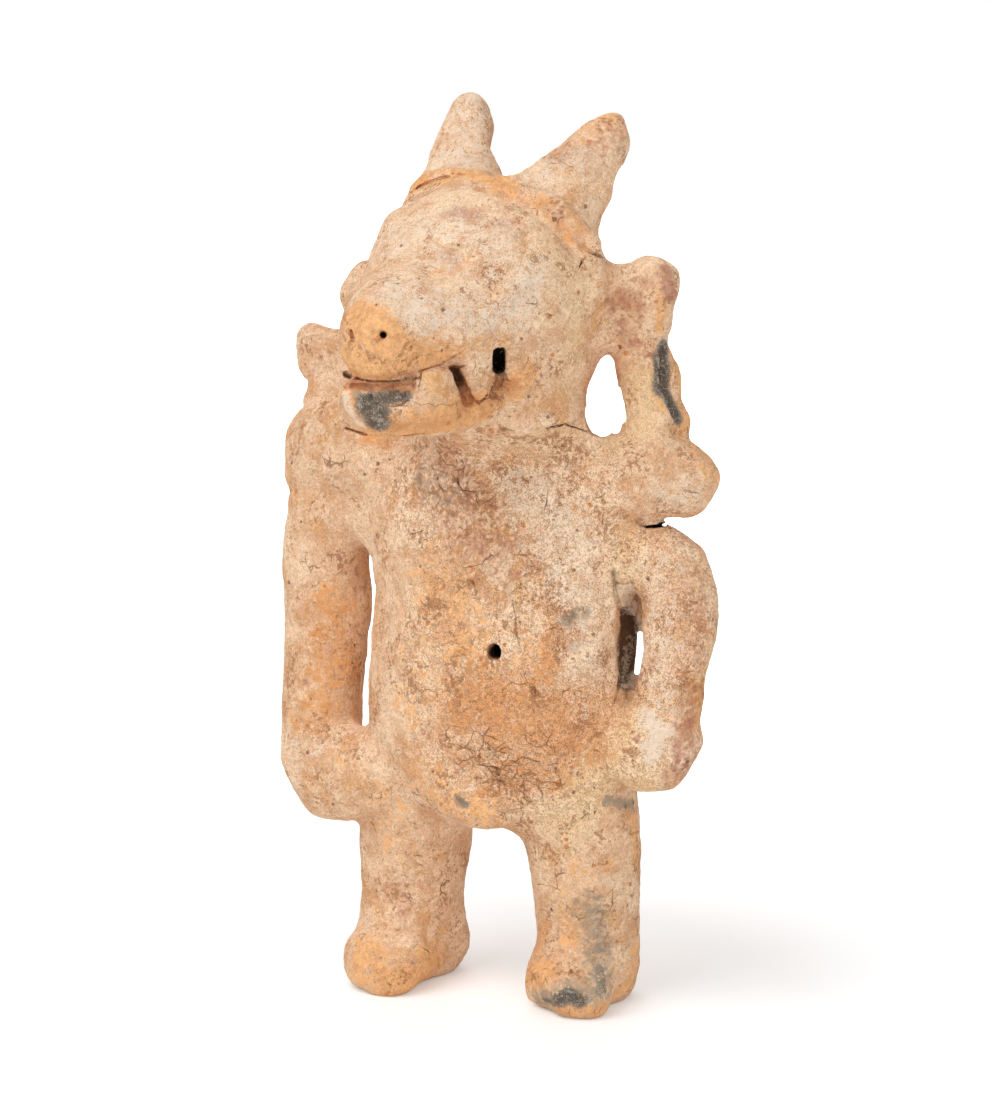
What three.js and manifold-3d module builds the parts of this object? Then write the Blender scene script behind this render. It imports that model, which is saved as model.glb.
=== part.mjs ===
// A zoomorphic ocarina of fired clay: a standing figure with a horned, fanged animal head.
// The hollow torso is the sounding chamber. The potter formed each piece by itself, pressed it
// on to its neighbour and luted it there with a film of slip, so each piece is a solid of its own.
// Millimetres, +Z up. The figure faces -Y, and its left side is +X.
import * as THREE from "three";
import { mergeVertices } from "three/addons/utils/BufferGeometryUtils.js";
import Module from "manifold-3d";

const wasm = await Module();
wasm.setup();

// Clay walls and joints
const slipFilm = 0.3; // gap that the slip fills between two luted pieces
const chamberWall = 5.5; // torso wall round the sounding chamber
const headWall = 6; // wall round the hollow of the head
const shellSeamForward = 3; // how far the side seam of the torso lies in front of the axis
const cutOverrun = 40; // how far a cutting block runs past what it cuts
const groundTrim = 30; // depth of the block that cuts the feet flat
const filmShare = 0.5; // of a film's thickness, on each side of a seam

// Torso: [height, width, depth, backward] shares from the crotch to the neck
const crotchHeight = 42;
const torsoHeight = 98;
const torsoWidth = 69;
const torsoDepth = 46;
const torsoAside = 2.2; // how far it stands towards the figure's left
const torsoShares = [
  [0, 0.38, 0.34, -0.06],
  [0.015, 0.64, 0.53, -0.06],
  [0.061, 0.87, 0.72, -0.06],
  [0.143, 0.99, 0.87, -0.053],
  [0.265, 1.01, 0.957, -0.043],
  [0.43, 1, 1, -0.032],
  [0.592, 0.965, 0.957, -0.021],
  [0.714, 1, 0.894, 0],
  [0.827, 1.08, 0.84, 0.02],
  [0.888, 1.04, 0.8, 0.02],
  [0.935, 0.9, 0.71, 0.02],
  [0.972, 0.7, 0.58, 0.02],
  [1, 0.46, 0.38, 0.02],
];
const groinWidth = 21;
const groinHeight = 12.5;
const groinDepth = 9.5;
const groinHeightShare = 0.08; // of the torso's height, to the middle of the lump
// [aside, rise, height, depth] shares from right to left
const groinShares = [
  [-0.48, 0.32, 0.62, 0.62],
  [-0.3, 0.12, 0.92, 0.9],
  [-0.04, -0.02, 1, 1],
  [0.24, -0.1, 0.82, 0.82],
  [0.46, -0.12, 0.46, 0.46],
];

// Finger hole in the belly
const fingerHoleDiameter = 3.6;
const fingerHoleAside = 9.5; // towards the figure's left
const fingerHoleHeightShare = 0.46; // of the torso's height

// Mouthpiece, windway, window and the edge that splits the air, all on the back
const mouthpieceWidth = 19;
const mouthpieceDepth = 11;
const mouthpieceLength = 27;
const mouthpieceLean = 4; // how far its blowing end stands back from its lower end
// [rise, width, depth] shares from the torso to the blowing end
const mouthpieceShares = [
  [0, 0.9, 0.8],
  [0.3, 1, 1],
  [0.7, 0.97, 0.96],
  [1, 0.88, 0.85],
];
const windwayWidth = 9;
const windwayThickness = 1.8;
const windowHeight = 3.8;
const windowHeightShare = 0.66; // of the torso's height, to the window's lower edge
const labiumWidth = 13;
const labiumHeight = 8;
const labiumDepth = 2.4;
const edgeThickness = 0.8;

// Neck
const neckWidth = 46;
const neckDepth = 35;
const neckRise = 6; // visible clay between torso and head
const neckSink = 5; // how far the collar reaches into its two neighbours
// [height, width, depth, forward] shares
const neckShares = [
  [0, 0.95, 0.8, 0],
  [0.4, 0.99, 0.94, 0.35],
  [0.75, 1, 1, 0.75],
  [1, 0.9, 0.9, 1],
];

// Head: it sits forward of the axis and looks a little to the figure's right.
const headTurn = -7; // degrees about the vertical
const headForward = 8;
const headHeight = 50.4;
const headWidth = 57;
const headDepth = 55;
// [height, width, depth, forward] shares
const headShares = [
  [0, 0.72, 0.6, 0],
  [0.04, 0.83, 0.73, 0],
  [0.133, 0.9, 0.85, 0.036],
  [0.266, 0.965, 0.94, 0.055],
  [0.418, 1, 1, 0.036],
  [0.57, 0.985, 0.985, 0],
  [0.703, 0.9, 0.89, -0.036],
  [0.836, 0.725, 0.71, -0.073],
  [0.93, 0.5, 0.48, -0.11],
  [0.985, 0.27, 0.26, -0.127],
  [1, 0.11, 0.11, -0.127],
];

// Jaws: [forward, width, height, rise] shares along the muzzle
const muzzleLength = 21; // in front of the forehead
const muzzleRoot = 17; // how far its root reaches back into the head
const jawInset = 9.5; // from the side of the head to the side of a jaw
const upperJawHeight = 22.5;
const upperJawHeightShare = 0.345; // of the head's height, to the middle of the nose
const upperJawShares = [
  [0, 0.9, 0.92, 0.15],
  [0.26, 1.02, 1, 0.16],
  [0.44, 0.96, 1.05, 0.13],
  [0.59, 0.79, 1.07, 0.09],
  [0.74, 0.62, 0.99, 0.04],
  [0.87, 0.52, 0.88, 0.01],
  [0.95, 0.43, 0.75, -0.01],
  [0.987, 0.28, 0.51, -0.02],
  [1, 0.14, 0.26, -0.02],
];
const lowerJawHeight = 12.4;
const lowerJawHeightShare = 0.045; // of the head's height, to the middle of the chin
const lowerJawShares = [
  [0, 0.92, 0.72, -0.19],
  [0.24, 1, 0.77, -0.17],
  [0.43, 0.935, 0.64, -0.31],
  [0.61, 0.79, 0.56, -0.33],
  [0.72, 0.7, 0.66, -0.27],
  [0.8, 0.61, 0.96, -0.03],
  [0.9, 0.51, 1, 0],
  [0.965, 0.36, 0.77, 0.02],
  [0.995, 0.17, 0.39, 0.05],
];
const tongueInset = 6; // from the side of a jaw to the side of the tongue
const tongueHeight = 13;
const tongueHeightShare = 0.13; // of the head's height
// [forward, width, height] shares
const tongueShares = [
  [0.1, 1, 1],
  [0.42, 0.98, 1],
  [0.6, 0.84, 1],
  [0.72, 0.64, 0.9],
  [0.78, 0.42, 0.6],
];
const nostrilDiameter = 2.2;
const nostrilDepth = 5;
const nostrilSpacing = 9;

// Fangs: a blunt one stands on the lower jaw and a longer one hangs from the upper jaw, each side
const lowerFangWidth = 13;
const lowerFangThickness = 4.6;
const lowerFangPlaceShare = 0.685; // of the jaw's run from root to tip
const lowerFangFootShare = 0.25; // of the lower jaw's height, below its middle
const lowerFangTipShare = 0.17; // of the upper jaw's height, above its lip
// [run, width, thickness] shares from foot to tip
const lowerFangShares = [
  [0, 1, 0.95],
  [0.35, 0.98, 1],
  [0.75, 0.78, 0.9],
  [1, 0.62, 0.8],
];
const upperFangWidth = 9;
const upperFangThickness = 5;
const upperFangPlaceShare = 0.4;
const upperFangRootShare = 0.33; // of the upper jaw's height, above its lip
const fangTurnRun = 4; // length of the jaw's side that a fang is set along
// [run, width, thickness] shares from root to tip
const upperFangShares = [
  [0, 1, 1],
  [0.45, 1, 1],
  [0.8, 0.72, 0.86],
  [0.95, 0.5, 0.6],
  [1, 0.3, 0.34],
];
const mouthHoleWidth = 3.1; // the opening behind the upper fang, into the hollow head
const mouthHoleHeight = 5.2;
const mouthHolePlaceShare = 0.2; // of the jaw's run
const mouthHoleAside = 15.7;
const mouthHoleHeightShare = 0.22; // of the head's height
const mouthHoleTurn = 42; // degrees from straight ahead

// Crown band: the roll of clay that crosses the head in front of the horns
const crownBandWidth = 9;
const crownBandThickness = 7;
const crownBandProud = 2.6; // how far it stands out of the head
const crownBandBack = 4.5; // behind the middle of the head
const crownBandShares = [0.5, 0.62, 0.74, 0.86, 0.95]; // of the head's height, up each side

// Horns
const hornDiameter = 21.5;
const hornRoot = 6; // length inside the head
const hornSpacing = 25.5; // between the two roots
const hornBack = 10; // behind the middle of the head
const hornSplay = 7.5; // how far each tip leans out
const hornSweep = 14; // how far each tip leans back
const hornHeightLeft = 23;
const hornHeightRight = 27.5;
const hornFootShare = 0.82; // of the head's height, where a horn leaves it
// [rise, thickness] shares
const hornShares = [
  [0, 1],
  [0.2, 1],
  [0.4, 0.84],
  [0.6, 0.68],
  [0.78, 0.54],
  [0.9, 0.43],
  [0.97, 0.29],
  [1, 0.13],
];

// Ear plates: outline as [outward, height] shares of their reach past the head's middle
// and of their height
const leftEarPlateOverhang = 14.5; // past the side of the head
const rightEarPlateOverhang = 17;
const earPlateHeight = 23;
const earPlateThickness = 9;
const earPlateBevel = 2.8;
const earPlateBehind = 5; // behind the axis of the body
const leftEarPlateFootShare = 0.19; // of the head's height, to the lower edge
const rightEarPlateFootShare = 0.11;
const earPlateShares = [
  [0.4, 0.94],
  [0.62, 0.93],
  [0.8, 0.99],
  [0.955, 0.985],
  [0.985, 0.77],
  [0.945, 0.48],
  [0.91, 0.2],
  [0.83, 0.03],
  [0.69, 0.03],
  [0.62, 0.17],
  [0.4, 0.2],
];

// Struts: they carry the ear plates on the shoulders
const leftStrutWidth = 13.2;
const rightStrutWidth = 15;
const strutThickness = 11.5;
const strutSink = 7; // how far each end reaches into its neighbour
const strutTopInset = 10.2; // from the plate's outer edge to the middle of the strut
const leftStrutOutset = 5.2; // from the side of the torso to the middle of its foot
const rightStrutOutset = 13.4;
const strutFootHeightShare = 0.94; // of the torso's height
// [rise, width, thickness] shares from the shoulder up
const strutShares = [
  [0, 1.5, 1.5],
  [0.27, 1.22, 1.16],
  [0.5, 0.98, 0.98],
  [0.76, 0.98, 0.92],
  [1, 1.1, 0.8],
];
const knobLength = 12; // the knob on the right strut
const knobRoot = 6;
const knobHeight = 13.4;
const knobThickness = 11.6;
const knobHeightShare = 0.78; // up the strut
// [reach, height, thickness] shares
const knobShares = [
  [0, 0.82, 0.85],
  [0.45, 0.9, 0.95],
  [0.72, 1, 1],
  [0.92, 0.78, 0.8],
  [1, 0.42, 0.46],
];
const scarDepth = 1.3; // the left knob broke off, and its scar is this deep
const scarHeightShare = 0.6; // up the strut
const scarLean = 20; // degrees from the vertical

// Shoulder lobes: [reach, height, depth, rise] shares
const leftLobeOverhang = 18.5; // past the side of the torso
const rightLobeOverhang = 25.6;
const lobeRoot = 12; // length inside the torso
const lobeHeight = 25;
const lobeDepth = 27;
const lobeHeightShare = 0.885; // of the torso's height, to the middle of the root
const leftLobeShares = [
  [0, 0.7, 0.8, -0.15],
  [0.24, 0.82, 1, -0.08],
  [0.52, 0.86, 0.86, -0.01],
  [0.74, 0.64, 0.64, -0.03],
  [0.91, 0.39, 0.4, -0.06],
  [1, 0.15, 0.16, -0.08],
];
const rightLobeShares = [
  [0, 1.04, 0.96, -0.04],
  [0.33, 1.06, 1, 0],
  [0.6, 1.1, 0.92, 0.01],
  [0.81, 1.02, 0.8, -0.02],
  [0.94, 0.76, 0.58, -0.06],
  [1, 0.36, 0.28, -0.08],
];

// Arms. The left one is bowed and short, and the right one hangs lower.
const shoulderRoot = 7; // length of the arm's root inside the shoulder
const shoulderHeightShare = 0.675; // of the torso's height, to the middle of the root
const leftArmThickness = 17.4;
const leftArmStandoff = 11.2; // from the side of the torso to the middle of the arm
const leftElbowHeight = 64;
// [outward, rise, forward, thickness] shares from shoulder to forearm
const leftArmShares = [
  [0, 0.02, 0, 0.92],
  [0.56, 0.02, 0, 0.98],
  [0.91, -0.1, 0.01, 1],
  [1, -0.32, 0.03, 0.98],
  [0.96, -0.58, 0.07, 0.92],
  [0.9, -0.8, 0.12, 0.9],
  [0.84, -0.94, 0.16, 0.84],
  [0.8, -1.04, 0.19, 0.6],
  [0.78, -1.1, 0.2, 0.26],
];
const rightArmThickness = 20;
const rightArmStandoff = 14.6;
const rightElbowHeight = 50;
const rightArmShares = [
  [0, 0.08, 0, 0.92],
  [0.5, 0.15, 0, 1],
  [0.9, 0.1, 0.01, 1.05],
  [1.02, -0.08, 0.02, 1.03],
  [1, -0.42, 0.03, 1],
  [1, -0.68, 0.06, 1],
  [1, -0.88, 0.1, 0.98],
  [0.97, -1.02, 0.12, 0.84],
  [0.95, -1.12, 0.13, 0.56],
  [0.94, -1.17, 0.13, 0.24],
];

// Forearms: [from elbow to hand, height, thickness] shares
const leftForearmHeight = 21;
const leftForearmThickness = 16.5;
const leftHandHeightShare = 0.25; // of the torso's height
const leftHandAngle = 26; // degrees from the side of the belly towards its front
const rightForearmHeight = 24;
const rightForearmThickness = 17.6;
const rightHandHeightShare = 0.1;
const rightHandAngle = 44;
const handSink = 2.5; // how far the hand is pressed into the belly
const elbowForward = 6;
const forearmShares = [
  [-0.34, 0.24, 0.22],
  [-0.28, 0.56, 0.52],
  [-0.16, 0.84, 0.8],
  [0.1, 1, 1],
  [0.42, 1.02, 1.02],
  [0.72, 0.92, 0.86],
  [0.9, 0.7, 0.64],
  [1, 0.36, 0.34],
];

// Legs: [height, width, depth, outward, backward] shares from the hip to the heel
const leftLegInset = 13.4; // from the side of the torso to the middle of the leg
const rightLegInset = 8.2;
const legWidth = 26;
const legDepth = 26;
const legRoot = 20; // length of the leg inside the torso
const heelSink = 3; // clay below the ground line, cut flat
const legShares = [
  [0, 0.86, 0.8, -0.08, -0.04],
  [0.17, 1.06, 1.04, -0.07, -0.03],
  [0.36, 1.05, 1.03, -0.035, 0],
  [0.55, 0.97, 0.96, 0, 0],
  [0.72, 0.93, 0.9, 0.01, 0.03],
  [0.87, 0.92, 0.9, 0.01, 0.06],
  [0.95, 0.82, 0.82, 0, 0.05],
  [1, 0.6, 0.62, 0, 0.04],
];

// Feet: the pad of the toes in front of each leg
const leftFootLength = 25.4;
const rightFootLength = 28.6;
const footWidth = 22.8;
const footHeight = 16;
const footHeelBehind = 5; // how far the pad starts behind the middle of the leg
// [forward, width, height, rise] shares from heel to toes
const footShares = [
  [0, 0.72, 0.78, 0.36],
  [0.28, 0.94, 0.96, 0.43],
  [0.58, 1, 1, 0.44],
  [0.79, 0.93, 0.88, 0.4],
  [0.93, 0.7, 0.6, 0.34],
  [1, 0.36, 0.32, 0.31],
];

// Round section counts
const torsoSides = 24;
const torsoSteps = 14;
const cavitySides = 14;
const cavitySteps = 8;
const headSides = 22;
const headSteps = 12;
const limbSides = 12;
const limbSteps = 10;
const smallSides = 8;
const smallSteps = 5;
const plateCurvePoints = 24;
const holeSides = 12;

const X = new THREE.Vector3(1, 0, 0);
const Y = new THREE.Vector3(0, 1, 0);
const Z = new THREE.Vector3(0, 0, 1);
const LEFT = 1;
const RIGHT = -1;
const radians = THREE.MathUtils.degToRad;

// A closed solid from a geometry, its shared corners merged
function solidOf(geometry) {
  const bare = geometry.clone();
  bare.deleteAttribute("normal");
  bare.deleteAttribute("uv");
  const merged = mergeVertices(bare);
  return new wasm.Manifold(
    new wasm.Mesh({
      numProp: 3,
      vertProperties: merged.attributes.position.array,
      triVerts: new Uint32Array(merged.index.array),
    }),
  );
}

function geometryOf(solid) {
  const mesh = solid.getMesh();
  return new THREE.BufferGeometry()
    .setAttribute("position", new THREE.BufferAttribute(mesh.vertProperties, 3))
    .setIndex(new THREE.BufferAttribute(mesh.triVerts, 1));
}

// The largest body of a solid: what a cut leaves of a root inside its neighbour falls away
function largestBody(solid) {
  return solid.decompose().reduce((a, b) => (b.volume() > a.volume() ? b : a));
}

// One ring of a skin: a rounded box with half sizes along two axes, which turn into the third
function ring(centre, across, along, halfAcross, halfAlong, sides, power) {
  const points = [];
  for (let i = 0; i < sides; i++) {
    const angle = (2 * Math.PI * i) / sides;
    const round = (value) => Math.sign(value) * Math.abs(value) ** (2 / power);
    points.push(
      centre
        .clone()
        .addScaledVector(across, halfAcross * round(Math.cos(angle)))
        .addScaledVector(along, halfAlong * round(Math.sin(angle))),
    );
  }
  return points;
}

// A closed skin through rings, with a flat fan over the first and the last ring
function skin(rings) {
  const sides = rings[0].length;
  const middle = (points) =>
    points.reduce((sum, p) => sum.add(p), new THREE.Vector3()).divideScalar(points.length);
  const corners = [...rings.flat(), middle(rings[0]), middle(rings.at(-1))];
  const firstPole = rings.length * sides;
  const lastPole = firstPole + 1;
  const lastRing = firstPole - sides;
  const faces = [];
  for (let i = 0; i < sides; i++) {
    const next = (i + 1) % sides;
    faces.push(firstPole, next, i, lastPole, lastRing + i, lastRing + next);
    for (let row = 0; row < lastRing; row += sides) {
      faces.push(row + i, row + next, row + sides + next);
      faces.push(row + i, row + sides + next, row + sides + i);
    }
  }
  return new THREE.BufferGeometry().setFromPoints(corners).setIndex(faces);
}

const smooth = (points) => new THREE.CatmullRomCurve3(points, false, "catmullrom");

// A form whose rings stay parallel. Stations are {at, half: [across, along]}, and grow swells it.
function stackedForm({ stations, across, along, steps, sides, power = 2.15 }, grow = 0) {
  const first = stations[0].at;
  const last = stations.at(-1).at;
  const centre = first.clone().lerp(last, 0.5);
  const axis = across.clone().cross(along);
  const halfLength = last.clone().sub(first).dot(axis) / 2;
  const places = smooth(stations.map((s) => s.at));
  const halves = smooth(stations.map((s) => new THREE.Vector3(...s.half, 0)));
  const rings = [];
  for (let i = 0; i <= steps; i++) {
    const at = places.getPoint(i / steps);
    const half = halves.getPoint(i / steps);
    const run = at.clone().sub(centre).dot(axis) / halfLength;
    at.addScaledVector(axis, run * grow);
    rings.push(ring(at, across, along, half.x + grow, half.y + grow, sides, power));
  }
  return solidOf(skin(rings));
}

// A form whose rings turn with its path. Half sizes are [beside, towards the reference axis].
function bentForm({ stations, towards, steps, sides, power = 2.1 }, grow = 0) {
  const path = smooth(stations.map((s) => s.at));
  const halves = smooth(stations.map((s) => new THREE.Vector3(...s.half, 0)));
  const rings = [];
  for (let i = 0; i <= steps; i++) {
    const tangent = path.getTangent(i / steps);
    const along = towards.clone().addScaledVector(tangent, -towards.dot(tangent)).normalize();
    const across = along.clone().cross(tangent);
    const at = path.getPoint(i / steps);
    const half = halves.getPoint(i / steps);
    const end = i === 0 ? -1 : i === steps ? 1 : 0;
    at.addScaledVector(tangent, end * grow);
    rings.push(ring(at, across, along, half.x + grow, half.y + grow, sides, power));
  }
  return solidOf(skin(rings));
}

// A cutting block between two corners
function block(low, high) {
  const size = high.clone().sub(low);
  const geometry = new THREE.BoxGeometry(size.x, size.y, size.z);
  geometry.translate(low.x + size.x / 2, low.y + size.y / 2, low.z + size.z / 2);
  return solidOf(geometry);
}

// A cutting rod of an oval section from one point towards another
function rod(from, to, width, height) {
  const run = to.clone().sub(from);
  const geometry = new THREE.CylinderGeometry(width / 2, width / 2, run.length(), holeSides);
  geometry.scale(1, 1, height / width);
  geometry.applyQuaternion(new THREE.Quaternion().setFromUnitVectors(Y, run.clone().normalize()));
  geometry.translate(...from.clone().addScaledVector(run, 0.5).toArray());
  return solidOf(geometry);
}

// Torso
const torsoTop = crotchHeight + torsoHeight;
const halfTorsoWidth = torsoWidth / 2;
const halfTorsoDepth = torsoDepth / 2;

const torsoStations = torsoShares.map(([height, width, depth, backward]) => ({
  at: new THREE.Vector3(
    torsoAside,
    backward * halfTorsoDepth,
    crotchHeight + height * torsoHeight,
  ),
  half: [width * halfTorsoWidth, depth * halfTorsoDepth],
}));

function torsoForm(grow = 0, sides = torsoSides, steps = torsoSteps) {
  const shape = { stations: torsoStations, across: X, along: Y, steps, sides, power: 2.3 };
  return stackedForm(shape, grow);
}

// Middle and half sizes of the torso's section at a share of its height
function torsoSection(heightShare) {
  const after = torsoShares.findIndex(([height]) => height >= heightShare);
  const upper = torsoStations[Math.max(after, 1)];
  const lower = torsoStations[Math.max(after, 1) - 1];
  const z = crotchHeight + heightShare * torsoHeight;
  const mix = (z - lower.at.z) / (upper.at.z - lower.at.z);
  return {
    at: lower.at.clone().lerp(upper.at, mix),
    halfWidth: THREE.MathUtils.lerp(lower.half[0], upper.half[0], mix),
    halfDepth: THREE.MathUtils.lerp(lower.half[1], upper.half[1], mix),
  };
}

// A point on the torso's skin. The angle runs from the figure's side towards its front.
function torsoPoint(heightShare, side, angle, inset = 0) {
  const { at, halfWidth, halfDepth } = torsoSection(heightShare);
  at.x += side * (halfWidth - inset) * Math.cos(radians(angle));
  at.y -= (halfDepth - inset) * Math.sin(radians(angle));
  return at;
}

// Head frame: forward, figure's left, and the middle of the head at its base
const headBase = torsoTop + neckRise;
const headMiddle = new THREE.Vector3(0, -headForward, headBase);
const headLeft = X.clone().applyAxisAngle(Z, radians(headTurn));
const headFront = Y.clone().negate().applyAxisAngle(Z, radians(headTurn));
const halfHeadWidth = headWidth / 2;
const halfHeadDepth = headDepth / 2;

// A point of the head's frame, from its forward, leftward and upward distances
function headPoint(forward, leftward, upward) {
  return headMiddle
    .clone()
    .addScaledVector(headFront, forward)
    .addScaledVector(headLeft, leftward)
    .addScaledVector(Z, upward);
}

const headBack = headFront.clone().negate();
const jawWidth = headWidth - 2 * jawInset;
const tongueWidth = jawWidth - 2 * tongueInset;

function headForm(grow = 0, sides = headSides, steps = headSteps) {
  const stations = headShares.map(([height, width, depth, forward]) => ({
    at: headPoint(forward * halfHeadDepth, 0, height * headHeight),
    half: [width * halfHeadWidth, depth * halfHeadDepth],
  }));
  return stackedForm({ stations, across: headLeft, along: headBack, steps, sides }, grow);
}

// Half width of the head at a share of its height
function halfWidthOfHead(heightShare) {
  const after = Math.max(headShares.findIndex(([height]) => height >= heightShare), 1);
  const [lowHeight, lowWidth] = headShares[after - 1];
  const [highHeight, highWidth] = headShares[after];
  const mix = (heightShare - lowHeight) / (highHeight - lowHeight);
  return halfHeadWidth * THREE.MathUtils.lerp(lowWidth, highWidth, mix);
}

function neckForm(grow = 0) {
  const low = torsoTop - neckSink;
  const rise = neckRise + 2 * neckSink;
  const stations = neckShares.map(([height, width, depth, forward]) => ({
    at: new THREE.Vector3(0, -forward * headForward, low + height * rise),
    half: [(width * neckWidth) / 2, (depth * neckDepth) / 2],
  }));
  const shape = { stations, across: X, along: Y, steps: smallSteps, sides: headSides };
  return stackedForm(shape, grow);
}

// Jaws run forward from a root inside the head.
const jawRootForward = halfHeadDepth - muzzleRoot;
const jawRun = muzzleRoot + muzzleLength;

function jawForm(shares, width, height, heightShare, grow) {
  const stations = shares.map(([forward, wide, high, rise = 0]) => ({
    at: headPoint(jawRootForward + forward * jawRun, 0, heightShare * headHeight + rise * height),
    half: [(wide * width) / 2, (high * height) / 2],
  }));
  const shape = { stations, across: headLeft, along: Z, steps: limbSteps, sides: limbSides + 4 };
  return stackedForm({ ...shape, power: 2.3 }, grow);
}

const upperJawForm = (grow = 0) =>
  jawForm(upperJawShares, jawWidth, upperJawHeight, upperJawHeightShare, grow);
const lowerJawForm = (grow = 0) =>
  jawForm(lowerJawShares, jawWidth, lowerJawHeight, lowerJawHeightShare, grow);
const tongueForm = (grow = 0) =>
  jawForm(tongueShares, tongueWidth, tongueHeight, tongueHeightShare, grow);

// Half width of the lower jaw at a share of its run, where the fangs stand
function halfWidthOfJaw(runShare) {
  const after = Math.max(lowerJawShares.findIndex(([forward]) => forward >= runShare), 1);
  const [lowRun, lowWidth] = lowerJawShares[after - 1];
  const [highRun, highWidth] = lowerJawShares[after];
  const mix = (runShare - lowRun) / (highRun - lowRun);
  return (jawWidth / 2) * THREE.MathUtils.lerp(lowWidth, highWidth, mix);
}

const upperLip = upperJawHeightShare * headHeight - upperJawHeight / 2;
const lowerLip = lowerJawHeightShare * headHeight;

// A fang between two heights above the head's base, facing out from the side of the jaw
function fangForm(side, { placeShare, from, to, width, thickness, shares }, grow = 0) {
  const forward = jawRootForward + placeShare * jawRun;
  const aside = halfWidthOfJaw(placeShare) - thickness / 2;
  const turnShare = fangTurnRun / jawRun;
  const slope = halfWidthOfJaw(placeShare - turnShare) - halfWidthOfJaw(placeShare + turnShare);
  const outward = headLeft
    .clone()
    .multiplyScalar(side * 2 * fangTurnRun)
    .addScaledVector(headFront, slope)
    .normalize();
  const stations = shares.map(([rise, wide, thick]) => ({
    at: headPoint(forward, side * aside, THREE.MathUtils.lerp(from, to, rise)),
    half: [(wide * width) / 2, (thick * thickness) / 2],
  }));
  const shape = { stations, towards: outward, steps: smallSteps, sides: smallSides + 2 };
  return bentForm({ ...shape, power: 2.8 }, grow);
}

const lowerFang = {
  placeShare: lowerFangPlaceShare,
  from: lowerLip - lowerFangFootShare * lowerJawHeight,
  to: upperLip + lowerFangTipShare * upperJawHeight,
  width: lowerFangWidth,
  thickness: lowerFangThickness,
  shares: lowerFangShares,
};
const upperFang = {
  placeShare: upperFangPlaceShare,
  from: upperLip + upperFangRootShare * upperJawHeight,
  to: lowerLip,
  width: upperFangWidth,
  thickness: upperFangThickness,
  shares: upperFangShares,
};

// The hole behind an upper fang, from outside the cheek into the hollow of the head
function mouthHole(side) {
  const forward = jawRootForward + mouthHolePlaceShare * jawRun;
  const upward = mouthHoleHeightShare * headHeight;
  const halfRun = 2 * headWall;
  const ends = [halfRun, -halfRun].map((reach) =>
    headPoint(
      forward + reach * Math.cos(radians(mouthHoleTurn)),
      side * (mouthHoleAside + reach * Math.sin(radians(mouthHoleTurn))),
      upward,
    ),
  );
  return rod(...ends, mouthHoleWidth, mouthHoleHeight);
}

function nostril(side) {
  const tip = jawRootForward + jawRun;
  const upward = upperJawHeightShare * headHeight;
  const aside = (side * nostrilSpacing) / 2;
  const outside = headPoint(tip + nostrilDepth, aside, upward);
  const inside = headPoint(tip - nostrilDepth, aside, upward);
  return rod(outside, inside, nostrilDiameter, nostrilDiameter);
}

// The crown band follows the head's skin from one side over the top to the other.
function crownBandForm(grow = 0) {
  const skinPoint = (side) => (heightShare) => {
    const inset = crownBandThickness / 2 - crownBandProud;
    const aside = side * (halfWidthOfHead(heightShare) - inset * (1 - heightShare));
    return headPoint(-crownBandBack, aside, heightShare * headHeight - inset * heightShare);
  };
  const top = headPoint(-crownBandBack, 0, headHeight - crownBandThickness / 2 + crownBandProud);
  const places = [
    ...crownBandShares.map(skinPoint(RIGHT)),
    top,
    ...crownBandShares.toReversed().map(skinPoint(LEFT)),
  ];
  const half = [crownBandThickness / 2, crownBandWidth / 2];
  const stations = places.map((at) => ({ at, half }));
  const shape = { stations, towards: headFront, steps: 2 * limbSteps, sides: smallSides };
  return bentForm(shape, grow);
}

function hornForm(side, grow = 0) {
  const height = side === LEFT ? hornHeightLeft : hornHeightRight;
  const foot = headPoint(-hornBack, (side * hornSpacing) / 2, hornFootShare * headHeight);
  const reach = headPoint(-hornBack - hornSweep, side * (hornSpacing / 2 + hornSplay), 0);
  const tip = reach.setZ(foot.z + height);
  const root = foot.clone().addScaledVector(tip.clone().sub(foot).normalize(), -hornRoot);
  const stations = hornShares.map(([rise, thick]) => ({
    at: root.clone().lerp(tip, rise),
    half: [(thick * hornDiameter) / 2, (thick * hornDiameter) / 2],
  }));
  const shape = { stations, towards: headFront, steps: limbSteps, sides: limbSides };
  return bentForm(shape, grow);
}

// Ear plates: flat slabs of clay with rounded edges, upright beside the head
function earPlateEnds(side) {
  const [overhang, footShare] =
    side === LEFT
      ? [leftEarPlateOverhang, leftEarPlateFootShare]
      : [rightEarPlateOverhang, rightEarPlateFootShare];
  return { reach: halfHeadWidth + overhang, foot: headBase + footShare * headHeight };
}

function earPlateForm(side, grow = 0) {
  const plate = earPlateEnds(side);
  const outline = new THREE.CatmullRomCurve3(
    earPlateShares.map(
      ([reach, height]) =>
        new THREE.Vector3(
          side * (reach * (plate.reach - earPlateBevel)),
          earPlateBevel + height * (earPlateHeight - 2 * earPlateBevel),
          0,
        ),
    ),
    true,
  );
  const points = outline.getPoints(plateCurvePoints).slice(0, -1);
  const shape = new THREE.Shape(points.map((p) => new THREE.Vector2(p.x, p.y)));
  const geometry = new THREE.ExtrudeGeometry(shape, {
    depth: earPlateThickness - 2 * earPlateBevel,
    bevelThickness: earPlateBevel + grow,
    bevelSize: earPlateBevel + grow,
    bevelSegments: 2,
  });
  geometry.rotateX(Math.PI / 2);
  const front = earPlateBehind + earPlateThickness / 2 - earPlateBevel;
  geometry.translate(0, front, plate.foot);
  return solidOf(geometry);
}

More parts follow.
